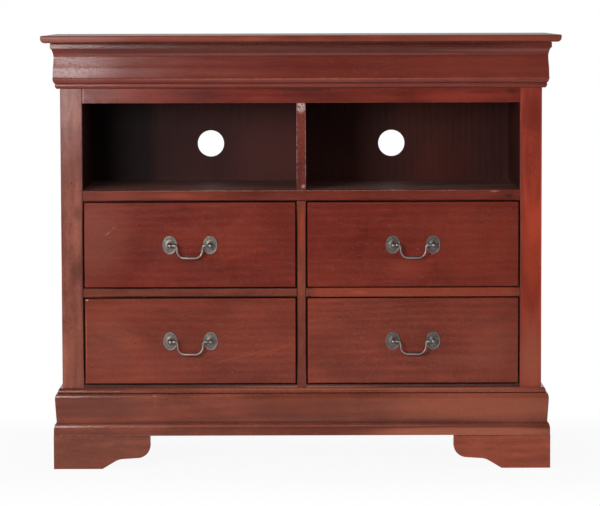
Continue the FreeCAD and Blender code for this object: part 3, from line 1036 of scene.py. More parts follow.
def moulding_tree() -> GeometryTree:
    """Tree that runs a section along a side of the case and mitres its ends.

    Returns:
        The tree, which starts from the section as one flat face.
    """
    sizes = ("Start", "Length", "Face", "Near mitre", "Far mitre")
    tree = GeometryTree("mitred moulding", sizes, ("Along", "Out"))
    section = tree.source.outputs["Geometry"]
    along, out = tree.source.outputs["Along"], tree.source.outputs["Out"]
    bar = tree.node(
        "GeometryNodeExtrudeMesh",
        {"mode": "FACES"},
        {"Mesh": section, "Offset": along, "Offset Scale": tree.size("Length"), "Individual": False},
    )
    back = tree.node("GeometryNodeFlipFaces", inputs={"Mesh": section})
    both = tree.node("GeometryNodeJoinGeometry")
    tree.tree.links.new(bar.outputs["Mesh"], both.inputs[0])
    tree.tree.links.new(back.outputs[0], both.inputs[0])
    solid = tree.node(
        "GeometryNodeMergeByDistance", inputs={"Geometry": both.outputs[0], "Distance": MERGE_DISTANCE}
    )
    place = tree.node("GeometryNodeInputPosition").outputs[0]
    stand = tree.dot(place, out) - tree.size("Face")
    reach = tree.dot(place, along) - tree.size("Start")
    far = reach.above(tree.size("Length") * HALF)
    shift = stand * (far * tree.size("Far mitre") - (1.0 - far) * tree.size("Near mitre"))
    offset = tree.node("ShaderNodeVectorMath", {"operation": "SCALE"}, {0: along, "Scale": shift})
    mitred = tree.node(
        "GeometryNodeSetPosition", inputs={"Geometry": solid.outputs[0], "Offset": offset.outputs["Vector"]}
    )
    tree.end(mitred.outputs[0])
    return tree


BEND_POINTS = 14
BAIL_POINTS = 220
WIRE_SIDES = 20
GRIP_BAND = (6.0 * MM, 1.0 * MM)  # over the grip, heights at which its swell has ended and is full
KNUCKLE_SHIFT = 0.9  # share of a collar's length between a knuckle's middle and the post


def bail_tree() -> GeometryTree:
    """Tree that rounds a path and runs a wire with a swelled grip along it.

    Returns:
        The tree, which starts from the path's points and edges with their bend attribute.
    """
    sizes = ("Wire", "Pin", "Grip", "Swell", "Centre", "Shoulder", "Grip height", "Collar", "Knuckle")
    tree = GeometryTree("swan neck bail", sizes)
    line = tree.node("GeometryNodeMeshToCurve", inputs={"Mesh": tree.source.outputs["Geometry"]})
    bend = tree.node("GeometryNodeInputNamedAttribute", {"data_type": "FLOAT"}, {"Name": BEND})
    rounded = tree.node(
        "GeometryNodeFilletCurve",
        {"mode": "POLY"},
        {"Curve": line.outputs[0], "Count": BEND_POINTS, "Radius": bend.outputs[0], "Limit Radius": True},
    )
    evenly = tree.node(
        "GeometryNodeResampleCurve", {"mode": "COUNT"}, {"Curve": rounded.outputs[0], "Count": BAIL_POINTS}
    )
    x, _, z = tree.split(tree.node("GeometryNodeInputPosition").outputs[0])
    aside = abs(x - tree.size("Centre"))
    low = (z - tree.size("Grip height")).ease(*GRIP_BAND)
    share = aside / tree.size("Swell")
    swell = (1.0 - share * share).most(0.0) * (tree.size("Grip") - tree.size("Wire")) * low
    pin = aside.above(tree.size("Shoulder"))
    near = (aside - tree.size("Shoulder")) / tree.size("Collar") + KNUCKLE_SHIFT
    knuckle = (1.0 - near * near).most(0.0) * tree.size("Knuckle") * (1.0 - pin)
    radius = (tree.size("Wire") + swell + knuckle) * (1.0 - pin) + pin * tree.size("Pin")
    circle = tree.node("GeometryNodeCurvePrimitiveCircle", inputs={"Resolution": WIRE_SIDES, "Radius": 1.0})
    wire = tree.node(
        "GeometryNodeCurveToMesh",
        inputs={
            "Curve": evenly.outputs[0],
            "Profile Curve": circle.outputs[0],
            "Scale": radius,
            "Fill Caps": True,
        },
    )
    tree.end(wire.outputs[0])
    return tree


HEAD_SEGMENTS = 10
HEAD_RINGS = 6
STRAY_SEED = 11


def fastener_tree() -> GeometryTree:
    """Tree that sets domed heads along a path, each a little off its place.

    Returns:
        The tree, which starts from the path's points and edges.
    """
    tree = GeometryTree("row of heads", ("Spacing", "Radius", "Height", "Stray"), ("Facing",))
    line = tree.node("GeometryNodeMeshToCurve", inputs={"Mesh": tree.source.outputs["Geometry"]})
    marks = tree.node(
        "GeometryNodeResampleCurve",
        {"mode": "LENGTH"},
        {"Curve": line.outputs[0], "Length": tree.size("Spacing")},
    )
    dots = tree.node("GeometryNodeCurveToPoints", {"mode": "EVALUATED"}, {"Curve": marks.outputs[0]})
    stray = tree.node(
        "FunctionNodeRandomValue",
        {"data_type": "FLOAT_VECTOR"},
        {"Min": (-1.0, -1.0, -1.0), "Max": (1.0, 1.0, 1.0), "Seed": STRAY_SEED},
    )
    drift = tree.node(
        "ShaderNodeVectorMath", {"operation": "SCALE"}, {0: stray.outputs[0], "Scale": tree.size("Stray")}
    )
    flat = tree.vector("MULTIPLY", drift.outputs["Vector"], (1.0, 0.0, 1.0))
    moved = tree.node("GeometryNodeSetPosition", inputs={"Geometry": dots.outputs[0], "Offset": flat})
    ball = tree.node(
        "GeometryNodeMeshUVSphere", inputs={"Segments": HEAD_SEGMENTS, "Rings": HEAD_RINGS, "Radius": 1.0}
    )
    width = tree.size("Radius")
    shaped = tree.node(
        "GeometryNodeTransform",
        inputs={"Geometry": ball.outputs[0], "Scale": tree.join(width, width, tree.size("Height"))},
    )
    turn = tree.node(
        "FunctionNodeAlignRotationToVector", {"axis": "Z"}, {"Vector": tree.source.outputs["Facing"]}
    )
    heads = tree.node(
        "GeometryNodeInstanceOnPoints",
        inputs={"Points": moved.outputs[0], "Instance": shaped.outputs[0], "Rotation": turn.outputs[0]},
    )
    tree.end(heads.outputs[0])
    return tree


# The case.


@dataclass
class Moulding:
    """A moulding that runs round the front and both sides of the case, mitred at the corners."""

    name: str
    shares: tuple[tuple, ...]
    projection: float
    half_case: float = 0.494
    y_face: float = -0.163
    y_back: float = 0.203
    arc_steps: int = 9

    def section(self) -> list[Point2]:
        """Outline of the section as projection and height in metres, closed against the case."""
        low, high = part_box(f"{self.name}_front")
        points: list[Point2] = [(0.0, 1.0)]
        for kind, *given in self.shares:
            if kind == "arc":
                points += arc_points(points[-1], given[0], given[1], self.arc_steps)
            else:
                points.append(given[0])
        points.append((0.0, 0.0))
        return [(out * self.projection, low[2] + up * (high[2] - low[2])) for out, up in points]

    def front(self, outline: Sequence[Point2]) -> tuple[list[Point3], dict[str, Any]]:
        """Start of the front length, and the sizes of its run."""
        points = [(-self.half_case, self.y_face - out, z) for out, z in outline]
        sizes = dict(
            Start=-self.half_case, Length=2 * self.half_case, Face=-self.y_face,
            Near_mitre=1.0, Far_mitre=1.0, Along=(1.0, 0.0, 0.0), Out=(0.0, -1.0, 0.0),
        )
        return points, sizes

    def flank(self, outline: Sequence[Point2], side: int) -> tuple[list[Point3], dict[str, Any]]:
        """Start of the length along one side, at the case's back, and the sizes of its run."""
        points = [(side * (self.half_case + out), self.y_back, z) for out, z in outline]
        sizes = dict(
            Start=-self.y_back, Length=self.y_back - self.y_face, Face=self.half_case,
            Near_mitre=0.0, Far_mitre=1.0, Along=(0.0, -1.0, 0.0), Out=(float(side), 0.0, 0.0),
        )
        return points, sizes

    def on_section(self, point: Vector, side: int) -> Point2:
        """Where a point of the front length (side 0) or of a side's length lies on the section."""
        out = side * point.x - self.half_case if side else self.y_face - point.y
        return out, point.z

    def build(self, tree: GeometryTree, finishes: dict[str, CherryFinish]) -> None:
        """Builds the three mitred lengths.

        Args:
            tree: the moulding tree.
            finishes: finish of each length by its node.
        """
        outline, reliefs = with_arrises(self.section())
        for part, side in (("front", 0), ("left", -1), ("right", 1)):
            node = f"{self.name}_{part}"
            points, sizes = self.flank(outline, side) if side else self.front(outline)
            base = mesh_of(node, points, [tuple(range(len(points)))])
            material = finishes[node].build()
            mesh = finished(tree.run(node, base, material, **sizes), MOULDING_CREASE)
            give_relief(mesh, outline, reliefs, lambda point, side=side: self.on_section(point, side))
            piece(f"{node}_moulding", mesh, material, "case", [node])


@dataclass
class TopBoard:
    """The flat top with its eased upper arris and its rounded under edge."""

    upper_round: float = 2.5 * MM
    under_round: float = 9.0 * MM
    steps: int = 8

    def nosing(self, low: float, high: float) -> list[Point2]:
        """Inset and height of the points down the edge, between the heights of the board's faces."""
        points = []
        for k in range(self.steps + 1):
            angle = math.pi / 2 * (1 - k / self.steps)
            inset = self.upper_round * (1 - math.cos(angle))
            points.append((inset, high - self.upper_round * (1 - math.sin(angle))))
        for k in range(self.steps + 1):
            angle = math.pi / 2 * k / self.steps
            inset = self.under_round * (1 - math.cos(angle))
            points.append((inset, low + self.under_round * (1 - math.sin(angle))))
        return points

    def build(self, finish: CherryFinish) -> None:
        """Builds the board.

        Args:
            finish: its finish.
        """
        low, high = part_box("top_board")
        edge = self.nosing(low[2], high[2])
        count = len(edge)
        corners = ((-1, 1), (-1, -1), (1, -1), (1, 1))
        points = []
        for x_side, y_side in corners:
            for inset, z in edge:
                y = high[1] if y_side > 0 else low[1] + inset
                points.append((x_side * (high[0] - inset), y, z))
        faces = []
        for station in range(len(corners) - 1):
            for j in range(count - 1):
                a, b = station * count + j, (station + 1) * count + j
                faces.append((a, b, b + 1, a + 1))
        faces.append(tuple(station * count for station in range(len(corners))))
        faces.append(tuple(station * count + count - 1 for station in range(len(corners))))
        last = (len(corners) - 1) * count
        faces.append((*range(count), *(last + j for j in reversed(range(count)))))
        mesh = finished(mesh_of("top_board", points, faces))
        piece("top_board_slab", mesh, finish.build(), "case", ["top_board"])


@dataclass
class CaseWood:
    """The boards of the case whose shapes are right as they are and only get their finish."""

    def dress(self, finishes: dict[str, CherryFinish | BareWoodFinish]) -> None:
        """Gives each board its material.

        Args:
            finishes: finish by node name.
        """
        built: dict[str, bpy.types.Material] = {}
        for node, finish in finishes.items():
            if finish.name not in built:
                built[finish.name] = finish.build()
            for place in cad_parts[node].material_slots:
                place.material = built[finish.name]
            log.info("%s: dressed in %s", node, finish.name)


@dataclass
class Fastenings:
    """Brads round the back panel and screws in the corner blocks of the feet."""

    inset: float = 9.0 * MM
    spacing: float = 88.0 * MM
    stray: float = 1.2 * MM
    brad_radius: float = 1.7 * MM
    brad_height: float = 0.7 * MM
    board_middle: float = 8.0 * MM
    screw_inset: float = 38.0 * MM
    screw_spacing: float = 18.0 * MM
    screw_lift: float = 2.0 * MM
    screw_radius: float = 3.6 * MM
    screw_height: float = 1.2 * MM

    def brads(self, tree: GeometryTree, material: bpy.types.Material) -> list[bpy.types.Mesh]:
        """Heads round the back panel, and in a row along each board behind it."""
        low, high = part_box("back_panel")
        x0, x1 = low[0] + self.inset, high[0] - self.inset
        z0, z1 = low[2] + self.inset, high[2] - self.inset
        y = high[1]
        sizes = dict(
            Radius=self.brad_radius, Height=self.brad_height, Stray=self.stray, Facing=(0.0, 1.0, 0.0)
        )
        path = path_of("brads", [(x0, y, z0), (x1, y, z0), (x1, y, z1), (x0, y, z1)], True)
        heads = [tree.run("brads", path, material, Spacing=self.spacing, **sizes)]
        for board in ("media_shelf", "case_bottom"):
            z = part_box(board)[0][2] + self.board_middle
            path = path_of("brads", [(x0, y, z), (x1, y, z)])
            heads.append(tree.run("brads", path, material, Spacing=2 * self.spacing, **sizes))
        return heads

    def screws(self, tree: GeometryTree, material: bpy.types.Material, foot: str) -> bpy.types.Mesh:
        """Two heads under the corner block of one foot."""
        low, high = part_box(foot)
        x = low[0] + self.screw_inset if foot.endswith("left") else high[0] - self.screw_inset
        y = low[1] + self.screw_inset if foot.startswith("front") else high[1] - self.screw_inset
        half = self.screw_spacing / 2
        path = path_of("screws", [(x - half, y, self.screw_lift), (x + half, y, self.screw_lift)])
        return tree.run(
            "screws", path, material, Spacing=self.screw_spacing, Radius=self.screw_radius,
            Height=self.screw_height, Stray=0.0, Facing=(0.0, 0.0, -1.0),
        )

    def build(self, tree: GeometryTree, material: bpy.types.Material) -> None:
        """Builds the brads and the screws.

        Args:
            tree: the tree for rows of heads.
            material: their steel.
        """
        mesh = finished(joined("back_brads", self.brads(tree, material)), HEAD_CREASE)
        piece("back_brads", mesh, material, "case")
        feet = ("front_foot_left", "front_foot_right", "rear_foot_left", "rear_foot_right")
        rows = [self.screws(tree, material, foot) for foot in feet]
        mesh = finished(joined("foot_screws", rows), HEAD_CREASE)
        piece("foot_screws", mesh, material, "case")


# The pulls.


@dataclass
class Pull:
    """A bail pull: two oval rosettes, two turned posts with nuts and a swan-neck bail."""

    row: str
    side: str
    x: float
    z: float
    y_face: float = -0.163
    spacing: float = 83.0 * MM
    half_height: float = 19.1 * MM
    squash: float = 0.775
    bore: float = 2.3 * MM
    ball: float = 4.6 * MM
    reach: float = 15.0 * MM
    drop: float = 26.0 * MM
    arm: float = 26.5 * MM
    grip: float = 25.0 * MM
    wire: float = 1.95 * MM
    grip_radius: float = 2.85 * MM
    bend: float = 15.5 * MM
    pin: float = 1.5 * MM
    pin_play: float = 0.05 * MM
    pin_end_gap: float = 0.5 * MM
    knuckle_gap: float = 0.3 * MM
    knuckle: float = 1.0 * MM
    collar: float = 5.0 * MM
    shoulder_bend: float = 4.5 * MM
    swell: float = 19.0 * MM
    past_centre: float = 1.0 * MM
    drill_overrun: float = 6.0 * MM
    front: float = 20.0 * MM
    tail: float = 5.0 * MM
    thread_tail: float = 4.6 * MM
    thread_pitch: float = 0.8 * MM
    thread_root: float = 1.75 * MM
    thread_rise: float = 0.3 * MM
    nut_across: float = 7.0 * MM
    nut_thickness: float = 3.0 * MM
    nut_bore: float = 1.9 * MM

    # Share of the half height, millimetres out from the face, and relief
    ROSETTE: ClassVar[tuple[Station, ...]] = (
        (1.0, 0.0, 0.0), (1.0, 1.0, 0.2), (0.992, 1.5, 0.6), (0.965, 1.9, 0.75), (0.93, 1.95, 0.7),
        (0.90, 1.85, 0.4), (0.875, 1.7, 0.15), (0.84, 1.72, 0.3), (0.80, 1.85, 0.45), (0.765, 1.88, 0.45),
        (0.73, 1.8, 0.3), (0.66, 1.8, 0.3), (0.56, 1.95, 0.4), (0.47, 2.15, 0.4), (0.40, 2.35, 0.4),
        (0.365, 2.45, 0.25), (0.33, 2.5, 0.15), (0.305, 2.75, 0.45), (0.26, 3.05, 0.5), (0.21, 3.2, 0.3),
    )
    BORE_RELIEF: ClassVar[float] = 0.1
    # Radius, millimetres out from the shank's own end, and relief
    SHANK_END: ClassVar[tuple[Station, ...]] = ((1.4, 0.0, 0.2), (1.9, 0.5, 0.3))
    # Radius, millimetres out from the face, and relief, between the shank and the ball
    POST: ClassVar[tuple[Station, ...]] = (
        (2.0, 3.2, 0.1), (4.6, 3.2, 0.2), (5.0, 3.45, 0.7), (5.0, 4.1, 0.9), (4.5, 4.5, 0.7),
        (3.5, 4.9, 0.2), (2.9, 5.7, 0.1), (2.7, 7.0, 0.15), (2.8, 8.6, 0.2), (3.2, 9.6, 0.3),
        (3.2, 10.2, 0.4), (2.8, 10.7, 0.2),
    )
    NECK_SHARE: ClassVar[float] = 0.62
    TIP_RADIUS: ClassVar[float] = 0.15 * MM
    # Relief of the ball at its neck, and how much more its tip has
    BALL_RELIEF: ClassVar[Point2] = (0.25, 0.75)
    # Relief of the bail at its back, and how much more its front has
    WIRE_RELIEF: ClassVar[Point2] = (0.35, 0.5)
    # Share of the nut's thickness and of its corner radius; None is its bore
    NUT: ClassVar[tuple[tuple[float, float | None], ...]] = (
        (0.0, 0.92), (0.12, 1.0), (0.88, 1.0), (1.0, 0.92), (1.0, None), (0.0, None),
    )
    ROSETTE_SIDES: ClassVar[int] = 72
    POST_SIDES: ClassVar[int] = 28
    BALL_STEPS: ClassVar[int] = 14
    THREAD_SIDES: ClassVar[int] = 20
    THREAD_TURNS: ClassVar[int] = 6
    THREAD_STEPS: ClassVar[int] = 8
    THREAD_CREASE: ClassVar[float] = 50.0
    NUT_SIDES: ClassVar[int] = 24
    NUT_CREASE: ClassVar[float] = 25.0
    DRILL_SIDES: ClassVar[int] = 24

    def centres(self) -> list[Vector]:
        """Points of the two posts on the drawer's face."""
        return [Vector((self.x + end * self.spacing / 2, self.y_face, self.z)) for end in (-1, 1)]

    def rosette(self, centre: Vector) -> bpy.types.Mesh:
        """One rosette: a rim, a bead, a dish and a boss, bored for the post."""
        first, last = self.ROSETTE[0], self.ROSETTE[-1]
        stations = [(self.bore, 0.0, first[2])]
        stations += [(share * self.half_height, out * MM, relief) for share, out, relief in self.ROSETTE]
        stations.append((self.bore, last[1] * MM, self.BORE_RELIEF))
        return lathe("rosette", stations, centre, self.ROSETTE_SIDES, self.squash)

    def post(self, centre: Vector) -> bpy.types.Mesh:
        """One turned post, from its threaded shank to the tip of its ball."""
        tail = -(self.front + self.tail)
        stations = [(radius * MM, tail + out * MM, relief) for radius, out, relief in self.SHANK_END]
        stations += [(radius * MM, out * MM, relief) for radius, out, relief in self.POST]
        first = math.asin(self.NECK_SHARE)
        for k in range(self.BALL_STEPS + 1):
            share = k / self.BALL_STEPS
            angle = first + (math.pi - first) * k / self.BALL_STEPS
            radius = max(self.ball * math.sin(angle), self.TIP_RADIUS)
            relief = self.BALL_RELIEF[0] + self.BALL_RELIEF[1] * share
            stations.append((radius, self.reach - self.ball * math.cos(angle), relief))
        return lathe("post", stations, centre, self.POST_SIDES, closed=False)

    def shank_thread(self, centre: Vector) -> bpy.types.Mesh:
        """The thread that shows behind the nut: a helical ridge on the shank."""
        sides, per_turn = self.THREAD_SIDES, self.THREAD_STEPS
        start = -(self.front + self.thread_tail)
        rings = self.THREAD_TURNS * per_turn + 1
        points = []
        for j in range(rings):
            phases = [(j / per_turn - k / sides) % 1.0 for k in range(sides)]
            radii = [self.thread_root + self.thread_rise * (1 - abs(2 * phase - 1)) for phase in phases]
            points += ring_points(centre, start + self.thread_pitch * j / per_turn, radii)
        return finished(mesh_of("thread", points, ring_faces(rings, sides, False)), self.THREAD_CREASE)

    def nut(self, centre: Vector) -> bpy.types.Mesh:
        """One six-sided nut with chamfered corners, bored for the shank."""
        half, sides, sixth = self.nut_across / 2, self.NUT_SIDES, math.pi / 3
        corner = half / math.cos(sixth / 2)
        flats = [half / math.cos((2 * math.pi * k / sides % sixth) - sixth / 2) for k in range(sides)]
        points = []
        for level, share in self.NUT:
            radii = [self.nut_bore if share is None else min(flat, corner * share) for flat in flats]
            points += ring_points(centre, -(self.front + level * self.nut_thickness), radii)
        return finished(mesh_of("nut", points, ring_faces(len(self.NUT), sides, True)), self.NUT_CREASE)

    def bored(self, mesh: bpy.types.Mesh, centre: Vector, end: int) -> bpy.types.Mesh:
        """The post with its ball drilled from the inner side for the bail's pin.

        Args:
            mesh: the solid post.
            centre: its point on the face.
            end: which of the two posts it is, -1 or 1.

        Returns:
            The drilled mesh.
        """
        post = bpy.data.objects.new("post", mesh)
        radius, depth = self.pin + self.pin_play, self.ball + self.drill_overrun
        x = centre.x + end * (self.past_centre - depth / 2)
        place = Matrix.Translation((x, centre.y - self.reach, centre.z))
        place = place @ Matrix.Rotation(math.pi / 2, 4, "Y")
        work = bmesh.new()
        bmesh.ops.create_cone(
            work, cap_ends=True, segments=self.DRILL_SIDES, radius1=radius, radius2=radius, depth=depth,
            matrix=place,
        )
        drill_mesh = bpy.data.meshes.new("drill")
        work.to_mesh(drill_mesh)
        work.free()
        drill = bpy.data.objects.new("drill", drill_mesh)
        for thing in (post, drill):
            bpy.context.scene.collection.objects.link(thing)
        cut = post.modifiers.new("bore", "BOOLEAN")
        cut.operation, cut.object, cut.solver = "DIFFERENCE", drill, "EXACT"
        graph = bpy.context.evaluated_depsgraph_get()
        result = bpy.data.meshes.new_from_object(post.evaluated_get(graph))
        for thing in (post, drill):
            bpy.data.objects.remove(thing)
        return finished(result)

    def bail(self, tree: GeometryTree, material: bpy.types.Material) -> bpy.types.Mesh:
        """The swan-neck bail with a pin in each ball.

        Args:
            tree: the bail tree.
            material: its pewter.

        Returns:
            The finished mesh, with its relief attribute.
        """
        y = self.y_face - self.reach
        shoulder = self.spacing / 2 - self.ball - self.knuckle_gap
        end = self.spacing / 2 - self.pin_end_gap
        right = [
            (self.grip, -self.drop, self.bend), (self.arm, 0.0, self.shoulder_bend), (end, 0.0, 0.0),
        ]
        corners = [(-x, z, bend) for x, z, bend in reversed(right)] + right
        path = path_of("bail", [(self.x + x, y, self.z + z) for x, z, _ in corners])
        give_attribute(path, BEND, [bend for _, _, bend in corners])
        mesh = tree.run(
            "bail", path, material, Wire=self.wire, Pin=self.pin, Grip=self.grip_radius, Swell=self.swell,
            Centre=self.x, Shoulder=shoulder, Grip_height=self.z - self.drop, Collar=self.collar,
            Knuckle=self.knuckle,
        )
        mesh = finished(mesh, HEAD_CREASE)
        deep, more = self.WIRE_RELIEF
        give_attribute(mesh, RELIEF, [deep + more * max(0.0, -v.normal.y) for v in mesh.vertices])
        return mesh

    def build(self, tree: GeometryTree, pewter: bpy.types.Material, steel: bpy.types.Material) -> None:
        """Builds and places the pull.

        Args:
            tree: the bail tree.
            pewter: material of the pull.
            steel: material of the nuts and threads.
        """
        body = f"{self.row}_{self.side}_drawer"
        centres = self.centres()
        rosettes = joined(f"{body}_rosettes_pewter", [self.rosette(c) for c in centres])
        piece(rosettes.name, finished(rosettes), pewter, body, [f"{body}_rosettes"])
        posts = [self.bored(self.post(c), c, end) for c, end in zip(centres, (-1, 1))]
        turned = joined(f"{body}_posts_pewter", posts)
        piece(turned.name, finished(turned), pewter, body, [f"{body}_posts"])
        nuts = joined(f"{body}_nuts", [make(c) for c in centres for make in (self.nut, self.shank_thread)])
        piece(nuts.name, finished(nuts), steel, body)
        bail = f"{self.row}_{self.side}_bail"
        piece(f"{bail}_wire", self.bail(tree, pewter), pewter, bail, [bail])


# The studio.


@dataclass
class Studio:
    """Camera, lamps, sky and floor."""

    distance: float = 6.3
    height: float = 0.956
    aim: Point3 = (-0.003, -0.163, 0.4446)
    lens: float = 184.3
    sensor: float = 36.0
    far_end: float = 100.0
    roll: float = 0.17
    lit: Point3 = (0.0, -0.1, 0.48)
    sky: float = 0.30
    room: float = 0.05
    floor_reach: float = 30.0
    floor_front: float = -2.4
    floor_grey: float = 0.86
    floor_share: float = 0.93
    floor_mirror_end: float = -0.7
    # Half width and half depth of the ground that keeps the shadow, and where it fades beyond that
    shadow_ground: Point2 = (0.5, 0.2)
    shadow_fade: Point2 = (0.02, 0.55)
    # Where the dim room turns into the white backdrop, going back
    backdrop_fade: Point2 = (-0.25, 0.35)

    def camera(self) -> None:
        """Sets the camera at the photograph's angle."""
        data = bpy.data.cameras.new("camera")
        data.lens = self.lens
        data.sensor_width = self.sensor
        data.clip_end = self.far_end
        thing = bpy.data.objects.new("camera", data)
        bpy.context.scene.collection.objects.link(thing)
        place = Vector((0.0, self.aim[1] - self.distance, self.height))
        lean = Matrix.Rotation(-math.radians(self.roll), 4, "Z")
        thing.matrix_world = self.facing(place, Vector(self.aim)) @ lean
        bpy.context.scene.camera = thing

    @staticmethod
    def facing(place: Vector, aim: Vector) -> Matrix:
        """Place and turn of a camera or lamp that looks at a point."""
        return Matrix.Translation(place) @ (aim - place).to_track_quat("-Z", "Y").to_matrix().to_4x4()

    def lamp(self, name: str, place: Point3, size: Point2, power: float) -> None:
        """Adds a soft box that faces the chest.

        Args:
            name: name of the lamp.
            place: its centre.
            size: its width and height.
            power: its power in watts.
        """
        data = bpy.data.lights.new(name, "AREA")
        data.shape = "RECTANGLE"
        data.size, data.size_y = size
        data.energy = power
        thing = bpy.data.objects.new(name, data)
        bpy.context.scene.collection.objects.link(thing)
        thing.matrix_world = self.facing(Vector(place), Vector(self.lit))

    @staticmethod
    def rays(writer: NodeWriter) -> tuple[Value, Value]:
        """Masks of what the camera sees at once, and of what gloss and glass show."""
        path = writer.node("ShaderNodeLightPath")
        eye, gloss, glass = (
            writer.value(path.outputs[f"Is {kind} Ray"]) for kind in ("Camera", "Glossy", "Transmission")
        )
        return eye, gloss.most(glass)

    def world(self) -> None:
        """White backdrop for the eye, the gloss and glass, a dimmer room before it, and a soft sky."""
        world = bpy.data.worlds.new("studio")
        bpy.context.scene.world = world
        world.use_nodes = True
        writer = NodeWriter(world.node_tree)
        eye, mirror = self.rays(writer)
        _, back, _ = writer.split(writer.node("ShaderNodeTexCoord").outputs["Generated"])
        backdrop = back.ease(*self.backdrop_fade) * (1.0 - self.room) + self.room
        strength = eye + (1.0 - eye) * (mirror * backdrop + (1.0 - mirror) * self.sky)
        light = writer.node("ShaderNodeBackground", inputs={"Color": WHITE, "Strength": strength})
        writer.node("ShaderNodeOutputWorld", inputs={"Surface": light.outputs[0]})

    def floor(self) -> None:
        """A pale floor that keeps the chest's shadow and runs out into white."""
        size, front = self.floor_reach, self.floor_front
        points = [(-size, front, 0.0), (size, front, 0.0), (size, size, 0.0), (-size, size, 0.0)]
        floor = bpy.data.objects.new("floor", mesh_of("floor", points, [(0, 1, 2, 3)]))
        bpy.context.scene.collection.objects.link(floor)
        shader = Shader("floor")
        point = shader.point()
        x, y, _ = shader.split(point)
        half_width, half_depth = self.shadow_ground
        away = (abs(x) - half_width).most(abs(y) - half_depth).ease(*self.shadow_fade)
        grey = shader.noise(point, 3.0, 3.0) * 0.02 + self.floor_grey
        matt = shader.node("ShaderNodeBsdfDiffuse", inputs={"Color": shader.join(grey, grey, grey)})
        white = shader.node("ShaderNodeEmission", inputs={"Color": WHITE, "Strength": 1.0})
        eye, mirror = self.rays(shader)
        seen = eye.most(mirror * y.ease(front, self.floor_mirror_end))
        share = seen * (self.floor_share + away * (1.0 - self.floor_share))
        both = shader.node("ShaderNodeMixShader", inputs={0: share, 1: matt.outputs[0], 2: white.outputs[0]})
        shader.node("ShaderNodeOutputMaterial", inputs={"Surface": both.outputs[0]})
        floor.data.materials.append(shader.material)

    def build(self) -> None:
        """Sets up the whole studio."""
        self.camera()
        self.world()
        self.floor()
        self.lamp("key", (-2.1, -3.7, 1.25), (1.1, 1.1), 53.0)
        self.lamp("sheen", (-0.80, -2.2, 0.86), (0.40, 0.5), 17.0)
        self.lamp("fill", (2.6, -4.2, 1.6), (1.6, 1.6), 21.0)
        bpy.context.scene.view_settings.view_transform = "Standard"
        log.info("studio: camera, three lamps, sky and floor")


# The chest's own tones and sections, and its marks, among them painted light and shade.

FRAME = tint(108, 41, 30)
BASE = tint(113, 54, 38)
BAY = tint(64, 32, 28)
# Dark of joints and dirt spots, and also of the painted shade in the mouldings' creases and under the crown
SOOT_AND_SHADE = (46, 21, 18)
PALE = (178, 136, 128)
# Colour of the painted shade in the gaps beside the drawers
GAP_SHADE = (20, 8, 7)

DRAWERS = tuple((row, side) for row in ("upper", "lower") for side in ("left", "right"))

# Sections of the mouldings from the top down: shares of the projection and of the height
CROWN_SHARES = (
    ("line", (0.93, 1.0)), ("line", (1.0, 0.972)), ("line", (1.0, 0.880)),
    ("arc", (0.714, 0.791), (0.627, 0.710)), ("line", (0.620, 0.700)),
    ("arc", (0.66, 0.56), (0.715, 0.44)), ("line", (0.735, 0.265)),
    ("arc", (0.742, 0.236), (0.775, 0.218)), ("arc", (0.700, 0.163), (0.486, 0.112)),
    ("line", (0.520, 0.096)), ("line", (0.520, 0.050)), ("arc", (0.42, 0.015), (0.20, 0.0)),
)
BASE_SHARES = (
    ("line", (0.20, 1.0)), ("arc", (0.45, 0.978), (0.530, 0.935)), ("line", (0.530, 0.915)),
    ("line", (0.490, 0.900)), ("line", (0.600, 0.880)), ("arc", (0.79, 0.855), (0.855, 0.800)),
    ("line", (0.855, 0.778)), ("arc", (0.770, 0.52), (0.672, 0.265)), ("line", (0.705, 0.252)),
    ("arc", (0.915, 0.220), (1.0, 0.148)), ("line", (1.0, 0.0)),
)


def stain(
    x: float, z: float, width: float, height: float, colour: Screen, strength: float, **more: Any
) -> Mark:
    """A mark with its place and size in millimetres and its colour in screen values: a real stain, and also
    painted shade, shadow, highlight and sheen.
    """
    return Mark(x * MM, z * MM, width * MM, height * MM, tint(*colour), strength, **more)


def line(
    x: float, z: float, width: float, height: float, colour: Screen, strength: float, **more: Any
) -> Mark:
    """A straight-edged mark, such as a joint, a glaze line, a rubbed arris, a painted shade line or a
    painted highlight line, in millimetres.
    """
    return stain(x, z, width, height, colour, strength, outline=Outline.STRIP, **more)


def gap_shade(x: float, z: float, width: float, height: float) -> Mark:
    """Painted shade along the arris of an opening, beside a drawer, which widens the dark of the gap."""
    return line(x, z, width, height, GAP_SHADE, 0.85, softness=0.3, ragged=0.1)


def wood(name: str, mid: Colour, *marks: Mark, **changes: Any) -> CherryFinish:
    """Finish of a board of that tone, with its own marks and changes."""
    return CherryFinish(name, mid, marks=marks, **changes)


def drawer_wood(name: str, mid: Colour, *marks: Mark, **changes: Any) -> CherryFinish:
    """Finish of a drawer's front, whose figure is broader than that of the frame."""
    return wood(f"{name}_drawer_front", mid, *marks, fibre=0.30, speckle=0.34, **changes)


def bay_wood(name: str, mid: Colour, *marks: Mark, **changes: Any) -> CherryFinish:
    """Finish of a board inside the case, with its own marks and changes."""
    inside: dict[str, Any] = dict(roughness=0.5, specular=0.10, coat=0.0, warmth=0.1)
    return wood(name, mid, *marks, **{**inside, **changes})


